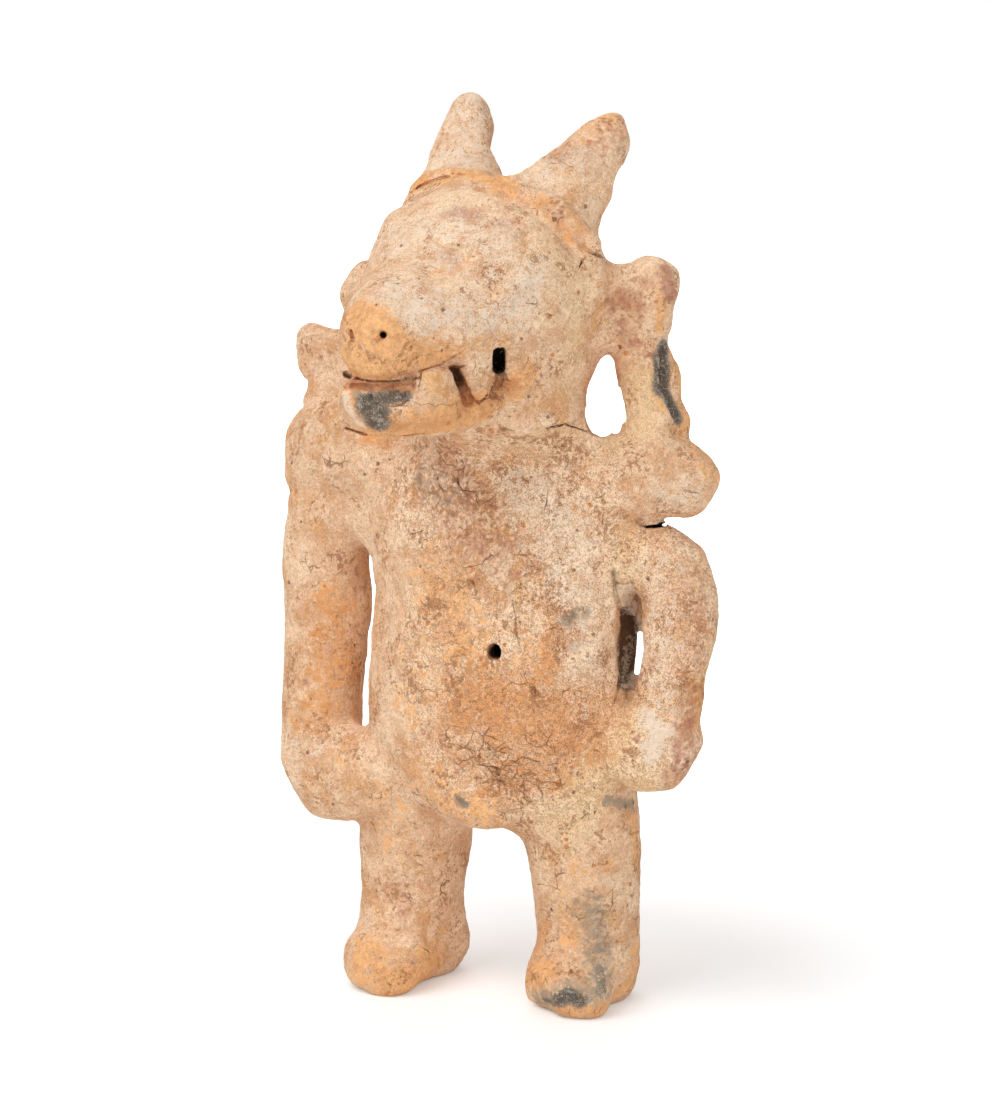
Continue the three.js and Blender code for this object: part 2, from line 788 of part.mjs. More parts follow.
// Struts between the ear plates and the shoulders
function strutEnds(side) {
  const plate = earPlateEnds(side);
  const [width, outset] =
    side === LEFT ? [leftStrutWidth, leftStrutOutset] : [rightStrutWidth, rightStrutOutset];
  const top = new THREE.Vector3(
    side * (plate.reach - strutTopInset),
    earPlateBehind,
    plate.foot + strutSink,
  );
  const foot = new THREE.Vector3(
    torsoAside + side * (halfTorsoWidth + outset),
    0,
    crotchHeight + strutFootHeightShare * torsoHeight - strutSink,
  );
  return { top, foot, width };
}

function strutForm(side, grow = 0) {
  const { top, foot, width } = strutEnds(side);
  const stations = strutShares.map(([rise, wide, thick]) => ({
    at: foot.clone().lerp(top, rise),
    half: [(wide * width) / 2, (thick * strutThickness) / 2],
  }));
  const shape = { stations, towards: Y, steps: limbSteps - 4, sides: limbSides };
  return bentForm(shape, grow);
}

// The right strut's knob stands out sideways. On the left only its scar is there.
function knobForm(grow = 0) {
  const { top, foot, width } = strutEnds(RIGHT);
  const seat = foot.lerp(top, knobHeightShare);
  const outer = seat.x - width / 2;
  const stations = knobShares.map(([reach, high, thick]) => ({
    at: seat.clone().setX(outer + knobRoot - reach * knobLength - reach * knobRoot),
    half: [(high * knobHeight) / 2, (thick * knobThickness) / 2],
  }));
  const shape = { stations, towards: Y, steps: smallSteps, sides: limbSides - 2, power: 2.6 };
  return bentForm(shape, grow);
}

function scarCut() {
  const { top, foot, width } = strutEnds(LEFT);
  const seat = foot.lerp(top, scarHeightShare);
  const cut = new THREE.BoxGeometry(cutOverrun, 2 * knobThickness, 2 * knobHeight);
  cut.translate(cutOverrun / 2, 0, 0);
  cut.rotateY(radians(-scarLean));
  cut.translate(seat.x + width / 2 - scarDepth, seat.y, seat.z);
  return solidOf(cut);
}

function lobeForm(side, grow = 0) {
  const [shares, overhang] =
    side === LEFT ? [leftLobeShares, leftLobeOverhang] : [rightLobeShares, rightLobeOverhang];
  const height = crotchHeight + lobeHeightShare * torsoHeight;
  const root = halfTorsoWidth - lobeRoot;
  const tip = halfTorsoWidth + overhang;
  const stations = shares.map(([run, high, deep, rise]) => ({
    at: new THREE.Vector3(
      torsoAside + side * THREE.MathUtils.lerp(root, tip, run),
      0,
      height + rise * lobeHeight,
    ),
    half: [(high * lobeHeight) / 2, (deep * lobeDepth) / 2],
  }));
  const shape = { stations, towards: Y, steps: limbSteps - 2, sides: limbSides + 2 };
  return bentForm(shape, grow);
}

// Arms hang from the shoulder to the elbow.
function armEnds(side) {
  const [standoff, elbowHeight] =
    side === LEFT ? [leftArmStandoff, leftElbowHeight] : [rightArmStandoff, rightElbowHeight];
  const { at, halfWidth } = torsoSection(shoulderHeightShare);
  const root = at.clone().setX(at.x + side * (halfWidth - shoulderRoot));
  const reach = torsoAside + side * (halfTorsoWidth + standoff);
  return { root, reach, drop: at.z - elbowHeight };
}

function upperArmForm(side, grow) {
  const [shares, thickness] =
    side === LEFT ? [leftArmShares, leftArmThickness] : [rightArmShares, rightArmThickness];
  const { root, reach, drop } = armEnds(side);
  const stations = shares.map(([outward, rise, forward, thick]) => ({
    at: new THREE.Vector3(
      THREE.MathUtils.lerp(root.x, reach, outward),
      -forward * drop,
      root.z + rise * drop,
    ),
    half: [(thick * thickness) / 2, (thick * thickness) / 2],
  }));
  return bentForm({ stations, towards: Y, steps: limbSteps + 4, sides: limbSides }, grow);
}

// The forearm comes forward from the elbow and ends as a hand on the belly.
function forearmForm(side, grow) {
  const [height, thickness, handShare, handAngle] =
    side === LEFT
      ? [leftForearmHeight, leftForearmThickness, leftHandHeightShare, leftHandAngle]
      : [rightForearmHeight, rightForearmThickness, rightHandHeightShare, rightHandAngle];
  const { root, reach, drop } = armEnds(side);
  const elbow = new THREE.Vector3(reach, -elbowForward, root.z - drop);
  const hand = torsoPoint(handShare, side, handAngle, handSink);
  const middle = elbow.clone().lerp(hand, 0.5);
  const bend = middle.clone().setX(elbow.x).lerp(middle, 0.5);
  const path = new THREE.QuadraticBezierCurve3(elbow, bend, hand);
  const start = path.getTangent(0);
  const stations = forearmShares.map(([run, high, thick]) => ({
    at: run < 0 ? elbow.clone().addScaledVector(start, run * height) : path.getPoint(run),
    half: [(thick * thickness) / 2, (high * height) / 2],
  }));
  return bentForm({ stations, towards: Z, steps: limbSteps, sides: limbSides }, grow);
}

// Each arm is one roll of clay, bent at the elbow.
const armForm = (side, grow = 0) => upperArmForm(side, grow).add(forearmForm(side, grow));

function legAside(side) {
  return torsoAside + side * (halfTorsoWidth - (side === LEFT ? leftLegInset : rightLegInset));
}

function legForm(side, grow = 0) {
  const run = crotchHeight + legRoot + heelSink;
  const stations = legShares.toReversed().map(([drop, wide, deep, outward, backward]) => ({
    at: new THREE.Vector3(
      legAside(side) + side * outward * legWidth,
      backward * legDepth,
      crotchHeight + legRoot - drop * run,
    ),
    half: [(wide * legWidth) / 2, (deep * legDepth) / 2],
  }));
  const shape = { stations, across: X, along: Y, steps: limbSteps, sides: limbSides + 4 };
  return stackedForm(shape, grow);
}

function footForm(side, grow = 0) {
  const footLength = side === LEFT ? leftFootLength : rightFootLength;
  const stations = footShares.map(([forward, wide, high, rise]) => ({
    at: new THREE.Vector3(
      legAside(side),
      footHeelBehind - forward * footLength,
      rise * footHeight,
    ),
    half: [(wide * footWidth) / 2, (high * footHeight) / 2],
  }));
  const shape = { stations, across: X, along: Z, steps: limbSteps - 2, sides: limbSides + 2 };
  return stackedForm({ ...shape, power: 2.4 }, grow);
}

function groinForm(grow = 0) {
  const { at, halfDepth } = torsoSection(groinHeightShare);
  const stations = groinShares.map(([aside, rise, high, deep]) => ({
    at: new THREE.Vector3(
      at.x + aside * groinWidth,
      at.y - halfDepth * Math.sqrt(1 - aside * aside),
      at.z + rise * groinHeight,
    ),
    half: [(high * groinHeight) / 2, (deep * groinDepth) / 2],
  }));
  return bentForm({ stations, towards: Y, steps: smallSteps, sides: smallSides + 2 }, grow);
}

// The windway runs down the back inside the mouthpiece and blows across the window.
const windowFoot = crotchHeight + windowHeightShare * torsoHeight;
const windowTop = windowFoot + windowHeight;
const windowSection = torsoSection(windowHeightShare);
const backSkin = windowSection.at.y + windowSection.halfDepth;
const jetMiddle = backSkin + windwayThickness / 2;

function mouthpieceForm(grow = 0) {
  const low = new THREE.Vector3(torsoAside, jetMiddle, windowTop);
  const high = low.clone().add(new THREE.Vector3(0, mouthpieceLean, mouthpieceLength));
  const stations = mouthpieceShares.map(([rise, wide, deep]) => ({
    at: low.clone().lerp(high, rise),
    half: [(wide * mouthpieceWidth) / 2, (deep * mouthpieceDepth) / 2],
  }));
  return bentForm({ stations, towards: Y, steps: smallSteps, sides: limbSides, power: 2.6 }, grow);
}

function windway() {
  const lean = Math.atan2(mouthpieceLean, mouthpieceLength);
  const geometry = new THREE.BoxGeometry(
    windwayWidth,
    windwayThickness,
    2 * (mouthpieceLength + cutOverrun),
  );
  geometry.rotateX(-lean);
  geometry.translate(torsoAside, jetMiddle, windowTop);
  return solidOf(geometry);
}

function soundWindow() {
  return block(
    new THREE.Vector3(torsoAside - windwayWidth / 2, backSkin - 2 * chamberWall, windowFoot),
    new THREE.Vector3(torsoAside + windwayWidth / 2, backSkin + cutOverrun, windowTop),
  );
}

// The edge that splits the air: a strip whose thin upper edge stands at the window's lower edge
const labiumSeatDepth = chamberWall / 2;

function labium() {
  const inner = backSkin - labiumSeatDepth;
  const profile = new THREE.Shape([
    new THREE.Vector2(inner, -labiumHeight),
    new THREE.Vector2(backSkin + labiumDepth / 3, -labiumHeight),
    new THREE.Vector2(backSkin + labiumDepth, -labiumHeight / 2),
    new THREE.Vector2(jetMiddle + edgeThickness / 2, 0),
    new THREE.Vector2(jetMiddle - edgeThickness / 2, 0),
    new THREE.Vector2(inner, -labiumHeight / 2),
  ]);
  const geometry = new THREE.ExtrudeGeometry(profile, { depth: labiumWidth, bevelEnabled: false });
  geometry.applyMatrix4(new THREE.Matrix4().makeBasis(Y, Z, X));
  geometry.translate(torsoAside - labiumWidth / 2, 0, windowFoot);
  return solidOf(geometry);
}

function labiumSeat() {
  return block(
    new THREE.Vector3(
      torsoAside - labiumWidth / 2 - slipFilm,
      backSkin - labiumSeatDepth - slipFilm,
      windowFoot - labiumHeight - slipFilm,
    ),
    new THREE.Vector3(
      torsoAside + labiumWidth / 2 + slipFilm,
      backSkin + cutOverrun,
      windowFoot + slipFilm,
    ),
  );
}

// Each piece is its form, cut back by a film of slip from the pieces it is pressed on
const belowGround = block(
  new THREE.Vector3(-torsoWidth - cutOverrun, -torsoDepth - cutOverrun, -groundTrim),
  new THREE.Vector3(torsoWidth + cutOverrun, torsoDepth + cutOverrun, 0),
);

function cutBack(solid, ...cutters) {
  return largestBody(cutters.reduce((left, cutter) => left.subtract(cutter), solid));
}

// The torso's shell is pressed in two halves that meet along the sides.
function torsoHalf(isFront) {
  const shell = torsoForm().subtract(torsoForm(-chamberWall, cavitySides, cavitySteps));
  const reach = new THREE.Vector3(1, 1, 1).multiplyScalar(torsoHeight + torsoWidth);
  const seam = -shellSeamForward + (isFront ? -filmShare : filmShare) * slipFilm;
  const low = reach.clone().negate();
  const high = reach.clone().setZ(torsoTop + cutOverrun);
  if (isFront) low.y = seam;
  else high.y = seam;
  return cutBack(shell, block(low, high));
}

function fingerHole() {
  const { at } = torsoSection(fingerHoleHeightShare);
  const inside = at.clone().setX(fingerHoleAside);
  const outside = inside.clone().setY(at.y - torsoDepth);
  return rod(outside, inside, fingerHoleDiameter, fingerHoleDiameter);
}

const torsoGrown = torsoForm(slipFilm);
const headGrown = headForm(slipFilm);
const neckGrown = neckForm(slipFilm);
const upperJawGrown = upperJawForm(slipFilm);
const lowerJawGrown = lowerJawForm(slipFilm);
const mouthHoles = [mouthHole(LEFT), mouthHole(RIGHT)];
const fangsGrown = [LEFT, RIGHT].flatMap((side) => [
  fangForm(side, upperFang, slipFilm),
  fangForm(side, lowerFang, slipFilm),
]);

const buffClay = { color: 0xc9a07a, roughness: 0.95, metalness: 0 };
const orangeClay = { color: 0xc98a4e, roughness: 0.95, metalness: 0 };
const paleClay = { color: 0xd3b08c, roughness: 0.95, metalness: 0 };

const figure = new THREE.Group();

function add(name, solid, clay) {
  const mesh = new THREE.Mesh(geometryOf(solid), new THREE.MeshStandardMaterial(clay));
  mesh.geometry.computeVertexNormals();
  mesh.name = name;
  figure.add(mesh);
}

add("torso_front_shell", cutBack(torsoHalf(true), fingerHole()), buffClay);
add("torso_back_shell", cutBack(torsoHalf(false), soundWindow(), labiumSeat()), buffClay);
add("labium", labium(), orangeClay);
add("mouthpiece", cutBack(mouthpieceForm(), torsoGrown, windway()), buffClay);
add("groin_lump", cutBack(groinForm(), torsoGrown), orangeClay);
add("neck_collar", cutBack(neckForm(), torsoGrown, headGrown), buffClay);

const headShell = headForm().subtract(headForm(-headWall, cavitySides, cavitySteps));
add("head_shell", cutBack(headShell, ...mouthHoles), buffClay);
const nostrils = [nostril(LEFT), nostril(RIGHT)];
add("upper_jaw", cutBack(upperJawForm(), headGrown, ...mouthHoles, ...nostrils), orangeClay);
const lowerJawCuts = [headGrown, neckGrown, torsoGrown, upperJawGrown];
add("lower_jaw", cutBack(lowerJawForm(), ...lowerJawCuts), orangeClay);
const mouthCuts = [headGrown, neckGrown, upperJawGrown, lowerJawGrown];
add("tongue", cutBack(tongueForm(), ...mouthCuts, ...fangsGrown, ...mouthHoles), orangeClay);

const crownBandGrown = crownBandForm(slipFilm);
add("crown_band", cutBack(crownBandForm(), headGrown), paleClay);

for (const [side, word] of [
  [LEFT, "left"],
  [RIGHT, "right"],
]) {
  add(`upper_fang_${word}`, cutBack(fangForm(side, upperFang), ...mouthCuts), paleClay);
  add(`lower_fang_${word}`, cutBack(fangForm(side, lowerFang), ...mouthCuts), paleClay);
  add(`horn_${word}`, cutBack(hornForm(side), headGrown, crownBandGrown), paleClay);

  const plateGrown = earPlateForm(side, slipFilm);
  add(`ear_plate_${word}`, cutBack(earPlateForm(side), headGrown, crownBandGrown), buffClay);

  const lobeGrown = lobeForm(side, slipFilm);
  add(`shoulder_lobe_${word}`, cutBack(lobeForm(side), torsoGrown, neckGrown), buffClay);
  const strutCuts = [torsoGrown, plateGrown, lobeGrown, neckGrown];
  const scar = side === LEFT ? [scarCut()] : [];
  add(`ear_strut_${word}`, cutBack(strutForm(side), ...strutCuts, ...scar), buffClay);

  const legGrown = legForm(side, slipFilm);
  add(`arm_${word}`, cutBack(armForm(side), torsoGrown, lobeGrown, legGrown), buffClay);
  add(`leg_${word}`, cutBack(legForm(side), torsoGrown, belowGround), buffClay);
  add(`foot_${word}`, cutBack(footForm(side), legGrown, belowGround), orangeClay);
}
const knobCuts = [strutForm, earPlateForm, lobeForm].map((form) => form(RIGHT, slipFilm));
add("ear_knob_right", cutBack(knobForm(), ...knobCuts), buffClay);

// The part's origin lies on the ground, under the middle of its box.
const box = new THREE.Box3().setFromObject(figure);
const middle = box.getCenter(new THREE.Vector3());
figure.position.set(-middle.x, -middle.y, -box.min.z);

export default figure;
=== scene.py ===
"""A standing, horned, fanged animal figure of fired clay that is also an ocarina.

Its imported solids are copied, fused as the potter luted them together, worked over by hand,
opened, and parted again into one dressed piece for each solid.
"""

import logging
import math
from collections.abc import Iterable
from dataclasses import dataclass, field
from enum import Enum

import bpy
import numpy as np
from mathutils import Matrix, Vector
from mathutils.bvhtree import BVHTree
from mathutils.kdtree import KDTree


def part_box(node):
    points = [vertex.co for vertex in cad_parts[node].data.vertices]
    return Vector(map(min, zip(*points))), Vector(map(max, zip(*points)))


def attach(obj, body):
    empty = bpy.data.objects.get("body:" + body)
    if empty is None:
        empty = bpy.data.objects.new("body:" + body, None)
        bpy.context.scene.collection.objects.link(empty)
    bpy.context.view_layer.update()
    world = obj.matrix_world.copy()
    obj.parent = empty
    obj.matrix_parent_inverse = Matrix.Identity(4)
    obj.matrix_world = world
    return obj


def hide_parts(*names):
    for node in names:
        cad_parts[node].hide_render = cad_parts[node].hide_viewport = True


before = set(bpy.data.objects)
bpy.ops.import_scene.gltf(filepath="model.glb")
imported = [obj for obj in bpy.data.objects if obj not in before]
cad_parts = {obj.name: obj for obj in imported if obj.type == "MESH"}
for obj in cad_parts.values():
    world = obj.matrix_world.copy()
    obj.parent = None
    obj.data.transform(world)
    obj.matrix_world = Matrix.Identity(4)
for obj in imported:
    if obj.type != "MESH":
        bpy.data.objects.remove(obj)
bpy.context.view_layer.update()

MM = 0.001
BODY = "root"
log = logging.getLogger("ocarina")

Piece = bpy.types.Object
Socket = bpy.types.NodeSocket
Value = Socket | float
Pixel = tuple[float, float]
Spot = tuple[float, float, float]
Bead = tuple[float, float, float, float]

ORIGIN: Spot = (0.0, 0.0, 0.0)
UPWARDS = Vector((0, 0, 1))
TOWARDS_LEFT: Spot = (-1.0, 0.0, 0.0)
TOWARDS_RIGHT: Spot = (1.0, 0.0, 0.0)
BACKWARDS: Spot = (0.0, 1.0, 0.0)

# Sizes of the skin's squares and of small steps, in millimetres

ROUGH_VOXEL = 0.8
FINE_VOXEL = 0.6
CUTTER_VOXEL = 1.5
BEAD_VOXEL = 0.26
BEAD_STEP = 0.45
SLIP_FILM = 0.3
MERGE_GAP = 0.01
SEAM_REACH = 0.45
SAME_POINT = 0.0005

# How the clay is worked

ROUND_UP = 1.25  # a cube's sides grow by this before it is rounded, since rounding shrinks it
ROUND_LEVELS = 3
RUB = 0.5
CREASE_STROKES = 3
PULL_POWER = 2.0
GROOVE_POWER = 1.5
PAINT_POWER = 1.3
JOINT_POWER = 0.5
LEAST_WEIGHT = 0.02
FACING_GAIN = 2.0
FACING_START = 0.2
SHARP_ANGLE = 55.0
CLOUD_DEPTH = 2
CRACK_REACH = 3.0
HOLE_SHARES = (0.1, 0.3, 0.55, 0.8, 1.0)  # where a mark is repeated on its way into a hole
LEAST_LENGTH = 1e-9
LEAST_SQUARE = 1e-12


class Slot(Enum):
    """Material slots that the parts are listed with."""

    BUFF_SLIP = "buff_slip"
    BARE_CLAY = "bare_clay"
    PALE_CRUST = "pale_crust"


def place(x: float, y: float, z: float) -> Vector:
    """Returns a point given in millimetres as metres."""
    return Vector((x, y, z)) * MM


# The photograph's view


@dataclass(frozen=True)
class PhotoCamera:
    """The camera that sees the figure as the photograph does.

    Pixels are counted across and down in the photograph's own frame.
    """

    stand: Vector = field(default_factory=lambda: place(359.4, -692.4, 247.0))
    aim: Vector = field(default_factory=lambda: place(0.283, 12.486, 107.5))
    lens: float = 110.0
    sensor: float = 36.0
    clip_start: float = 0.05
    clip_end: float = 20.0
    frame_width: float = 991.0
    frame_height: float = 1100.0

    def build(self) -> None:
        """Adds the camera and makes it the scene's own."""
        data = bpy.data.cameras.new("photo_camera")
        data.lens = self.lens
        data.sensor_width = self.sensor
        data.clip_start = self.clip_start
        data.clip_end = self.clip_end
        camera = link(bpy.data.objects.new("photo_camera", data))
        aim_at(camera, self.stand, self.aim)
        bpy.context.scene.camera = camera

    def axes(self) -> tuple[Vector, Vector, Vector]:
        """Returns the view's forward, right and up directions."""
        forward = (self.aim - self.stand).normalized()
        right = forward.cross(UPWARDS).normalized()
        return forward, right, right.cross(forward)

    def focal(self) -> float:
        """Returns the focal length in pixels."""
        return self.lens / self.sensor * self.frame_height

    def ray(self, across: float, down: float) -> Vector:
        """Returns the direction from the camera through a pixel."""
        forward, right, up = self.axes()
        aside = (across - self.frame_width / 2) / self.focal()
        below = (down - self.frame_height / 2) / self.focal()
        return (forward + right * aside - up * below).normalized()

    def shift(self, start: Pixel, end: Pixel) -> Vector:
        """Returns the move in the picture's plane that takes one pixel to another."""
        _, right, up = self.axes()
        size = (self.aim - self.stand).length / self.focal()
        return right * (end[0] - start[0]) * size - up * (end[1] - start[1]) * size


CAMERA = PhotoCamera()


# Handling of meshes


def link(piece: Piece) -> Piece:
    """Adds an object to the scene."""
    bpy.context.scene.collection.objects.link(piece)
    return piece


def aim_at(thing: Piece, stand: Vector, aim: Vector) -> None:
    """Stands a camera or a lamp somewhere and turns it to its aim."""
    thing.location = stand
    thing.rotation_euler = (aim - stand).to_track_quat("-Z", "Y").to_euler()


def pick(*pieces: Piece) -> None:
    """Selects these objects and no other; the first becomes active."""
    bpy.ops.object.select_all(action="DESELECT")
    for piece in pieces:
        piece.select_set(True)
    bpy.context.view_layer.objects.active = pieces[0]


def apply(piece: Piece, kind: str, **settings: object) -> None:
    """Adds a modifier to a piece and applies it.

    Args:
        piece: The object to change.
        kind: The modifier's type.
        **settings: The modifier's own settings.
    """
    modifier = piece.modifiers.new(kind.lower(), kind)
    for name, value in settings.items():
        setattr(modifier, name, value)
    pick(piece)
    bpy.ops.object.modifier_apply(modifier=modifier.name)


def edit(piece: Piece) -> None:
    """Opens a piece in edit mode with everything selected."""
    pick(piece)
    bpy.ops.object.mode_set(mode="EDIT")
    bpy.ops.mesh.select_all(action="SELECT")


def leave_edit() -> None:
    """Goes back to object mode."""
    bpy.ops.object.mode_set(mode="OBJECT")


def drop(*pieces: Piece) -> None:
    """Removes helper objects and their meshes."""
    for piece in pieces:
        mesh = piece.data
        bpy.data.objects.remove(piece)
        bpy.data.meshes.remove(mesh)


def copy_node(node: str) -> Piece:
    """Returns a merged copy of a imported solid, without its material."""
    piece = link(bpy.data.objects.new(f"{node}_clay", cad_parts[node].data.copy()))
    piece.data.materials.clear()
    edit(piece)
    bpy.ops.mesh.remove_doubles(threshold=MERGE_GAP * MM)
    leave_edit()
    return piece


def duplicate(piece: Piece, name: str) -> Piece:
    """Returns a copy of a piece with its own mesh."""
    other = piece.copy()
    other.data = piece.data.copy()
    other.name = name
    return link(other)


def join(pieces: list[Piece], name: str) -> Piece:
    """Joins pieces into one object."""
    pick(*pieces)
    if len(pieces) > 1:
        bpy.ops.object.join()
    joined = bpy.context.view_layer.objects.active
    joined.name = name
    return joined


def swell(piece: Piece, amount: float) -> None:
    """Moves a skin outwards by an amount in millimetres, or inwards where it is negative."""
    apply(piece, "DISPLACE", strength=amount * MM, mid_level=0.0)


def even_out(piece: Piece, voxel: float) -> None:
    """Gives a piece one closed skin of even squares, which also fuses what it is made of."""
    apply(piece, "REMESH", mode="VOXEL", voxel_size=voxel * MM, use_smooth_shade=True)


def stroke_smooth(piece: Piece, repeats: int) -> None:
    """Smooths a skin as wet fingers do."""
    apply(piece, "SMOOTH", factor=RUB, iterations=repeats)


def fill_creases(piece: Piece, depth: float, voxel: float) -> None:
    """Fills a piece's creases with clay of a radius in millimetres, as luting does."""
    swell(piece, depth)
    even_out(piece, voxel)
    stroke_smooth(piece, CREASE_STROKES)
    swell(piece, -depth)
    even_out(piece, voxel)


def knead(
    name: str,
    forms: list[Piece],
    creases: float = 0.0,
    strokes: int = 8,
    voxel: float = ROUGH_VOXEL,
) -> Piece:
    """Lutes forms into one and smooths the joints.

    Args:
        name: The new form's name.
        forms: The forms, which are used up.
        creases: The radius in millimetres to which creases are filled.
        strokes: How often the skin is smoothed.
        voxel: The size of the skin's squares in millimetres.

    Returns:
        The fused form.
    """
    form = join(forms, name)
    even_out(form, voxel)
    if creases:
        fill_creases(form, creases, voxel)
    stroke_smooth(form, strokes)
    return form


def cube(name: str) -> Piece:
    """Adds a cube with sides of one metre round the origin."""
    bpy.ops.object.select_all(action="DESELECT")
    bpy.ops.mesh.primitive_cube_add(size=1.0, location=ORIGIN)
    piece = bpy.context.active_object
    piece.name = name
    return piece


def lump(name: str, at: Spot, size: Spot, lean: float = 0.0) -> Piece:
    """Presses a lump of clay between the fingers.

    Args:
        name: The lump's name.
        at: Its middle in millimetres.
        size: Its whole width, depth and height in millimetres.
        lean: Its turn about X in degrees.

    Returns:
        The lump, with its place in its mesh.
    """
    piece = cube(name)
    edit(piece)
    sides = [side * ROUND_UP * MM for side in size]
    bpy.ops.transform.resize(value=sides, center_override=ORIGIN)
    if lean:
        bpy.ops.transform.rotate(
            value=math.radians(lean), orient_axis="X", center_override=ORIGIN
        )
    bpy.ops.transform.translate(value=place(*at))
    leave_edit()
    apply(piece, "SUBSURF", levels=ROUND_LEVELS, render_levels=ROUND_LEVELS)
    return piece


@dataclass(frozen=True)
class Grain:
    """A cloudy pattern of small lumps and hollows, its size and depth in millimetres."""

    name: str
    size: float
    depth: float


RAGGED = Grain("ragged", 1.1, 0.35)


def crumble(piece: Piece, grain: Grain) -> None:
    """Moves a skin in and out by a cloudy pattern."""
    texture = bpy.data.textures.new(grain.name, "CLOUDS")
    texture.noise_scale = grain.size * MM
    texture.noise_depth = CLOUD_DEPTH
    apply(
        piece,
        "DISPLACE",
        texture=texture,
        texture_coords="LOCAL",
        strength=grain.depth * MM,
        mid_level=0.5,
    )
    bpy.data.textures.remove(texture)


# Notes for the hands: what is done where


@dataclass(frozen=True)
class Pull:
    """One pull of the clay from a pixel of the photograph to another, over a reach in mm.

    Where it has a facing, only the skin that faces that way moves.
    """

    name: str
    start: Pixel
    end: Pixel
    reach: float
    facing: Spot | None = None


@dataclass(frozen=True)
class Dab:
    """A place at a pixel of the photograph that is pressed in by a depth, or rubbed, in mm."""

    name: str
    at: Pixel
    reach: float
    depth: float = 0.0


@dataclass(frozen=True)
class Opening:
    """A hole at a pixel of the photograph, with its width, height and depth in mm.

    It runs in along its own axis.
    """

    name: str
    at: Pixel
    width: float
    height: float
    depth: float
    axis: Spot


@dataclass(frozen=True)
class Furrow:
    """A valley, or a ridge where the depth is negative, that is stroked along pixels, in mm."""

    name: str
    path: tuple[Pixel, ...]
    width: float
    depth: float


@dataclass(frozen=True)
class Cleft:
    """A cut with ragged walls, as a string of beads along pixels of the photograph.

    Each bead has its pixel across and down, its half width and its depth in mm.
    """

    name: str
    beads: tuple[Bead, ...]


@dataclass(frozen=True)
class Part:
    """A piece that is parted from the figure, and how far its cut stands off, in mm."""

    node: str
    slot: Slot
    reach: float


class Layer(Enum):
    """What the weather, the fire and the ground left on the clay, and the shade painted into its
    holes, gaps and creases.
    """

    BARE = "bare"
    CRUST = "crust"
    CHAR = "char"
    STAIN = "stain"
    EARTH = "earth"
    CRAZE = "craze"
    # grime, and painted shade that darkens gaps, slits and the armpit
    GRIME = "grime"
    SLIP = "slip"
    ASH = "ash"
    # painted shade, near black, deep in the holes and cracks
    SOOT = "soot"
    SAND = "sand"
    RUST = "rust"
    CRACK = "crack"


@dataclass(frozen=True)
class Mark:
    """A patch of one layer along a path, given in pixels of the photograph or in mm.

    Where it has a depth in mm, it also covers the walls of a hole that runs away from the camera.
    """

    name: str
    layer: Layer
    path: tuple[Pixel | Spot, ...]
    reach: float
    strength: float = 1.0
    depth: float = 0.0


@dataclass(frozen=True)
class Crack:
    """A crack that opens along a path of pixels, with its width in mm."""

    name: str
    path: tuple[Pixel, ...]
    width: float


# Sculpting by hand on the fused clay


def rows(data: bpy.types.bpy_prop_collection, key: str = "co") -> np.ndarray:
    """Returns a triple of each of a mesh's vertices, as the rows of a table."""
    values = np.empty(len(data) * 3)
    data.foreach_get(key, values)
    return values.reshape(-1, 3)


def hump(gap: np.ndarray, power: float) -> np.ndarray:
    """Returns a smooth weight from 1 in the middle to 0 at the reach.

    Args:
        gap: Distances from the middle, as shares of the reach.
        power: How fast the weight falls.

    Returns:
        The weight at each distance.
    """
    return np.clip(1.0 - gap**2, 0.0, 1.0) ** power


def off_stretch(
    points: np.ndarray, start: Vector, end: Vector
) -> tuple[np.ndarray, np.ndarray, np.ndarray]:
    """Measures points against a straight stretch.

    Args:
        points: The points.
        start: Where the stretch starts.
        end: Where it ends.

    Returns:
        The stretch's run, each point's share of the way along it, below 0 or above 1 where it
        lies beyond an end, and each point's offset from the nearest place of the stretch.
    """
    first = np.array(start)
    run = np.array(end) - first
    share = (points - first) @ run / max(run @ run, LEAST_SQUARE)
    return run, share, points - first - np.clip(share, 0.0, 1.0)[:, None] * run


def distance_to_line(points: np.ndarray, line: list[Vector]) -> np.ndarray:
    """Returns each point's distance to a line of straight stretches."""
    nearest = np.full(len(points), np.inf)
    for start, end in zip(line, line[1:]):
        away = off_stretch(points, start, end)[2]
        nearest = np.minimum(nearest, np.linalg.norm(away, axis=1))
    return nearest


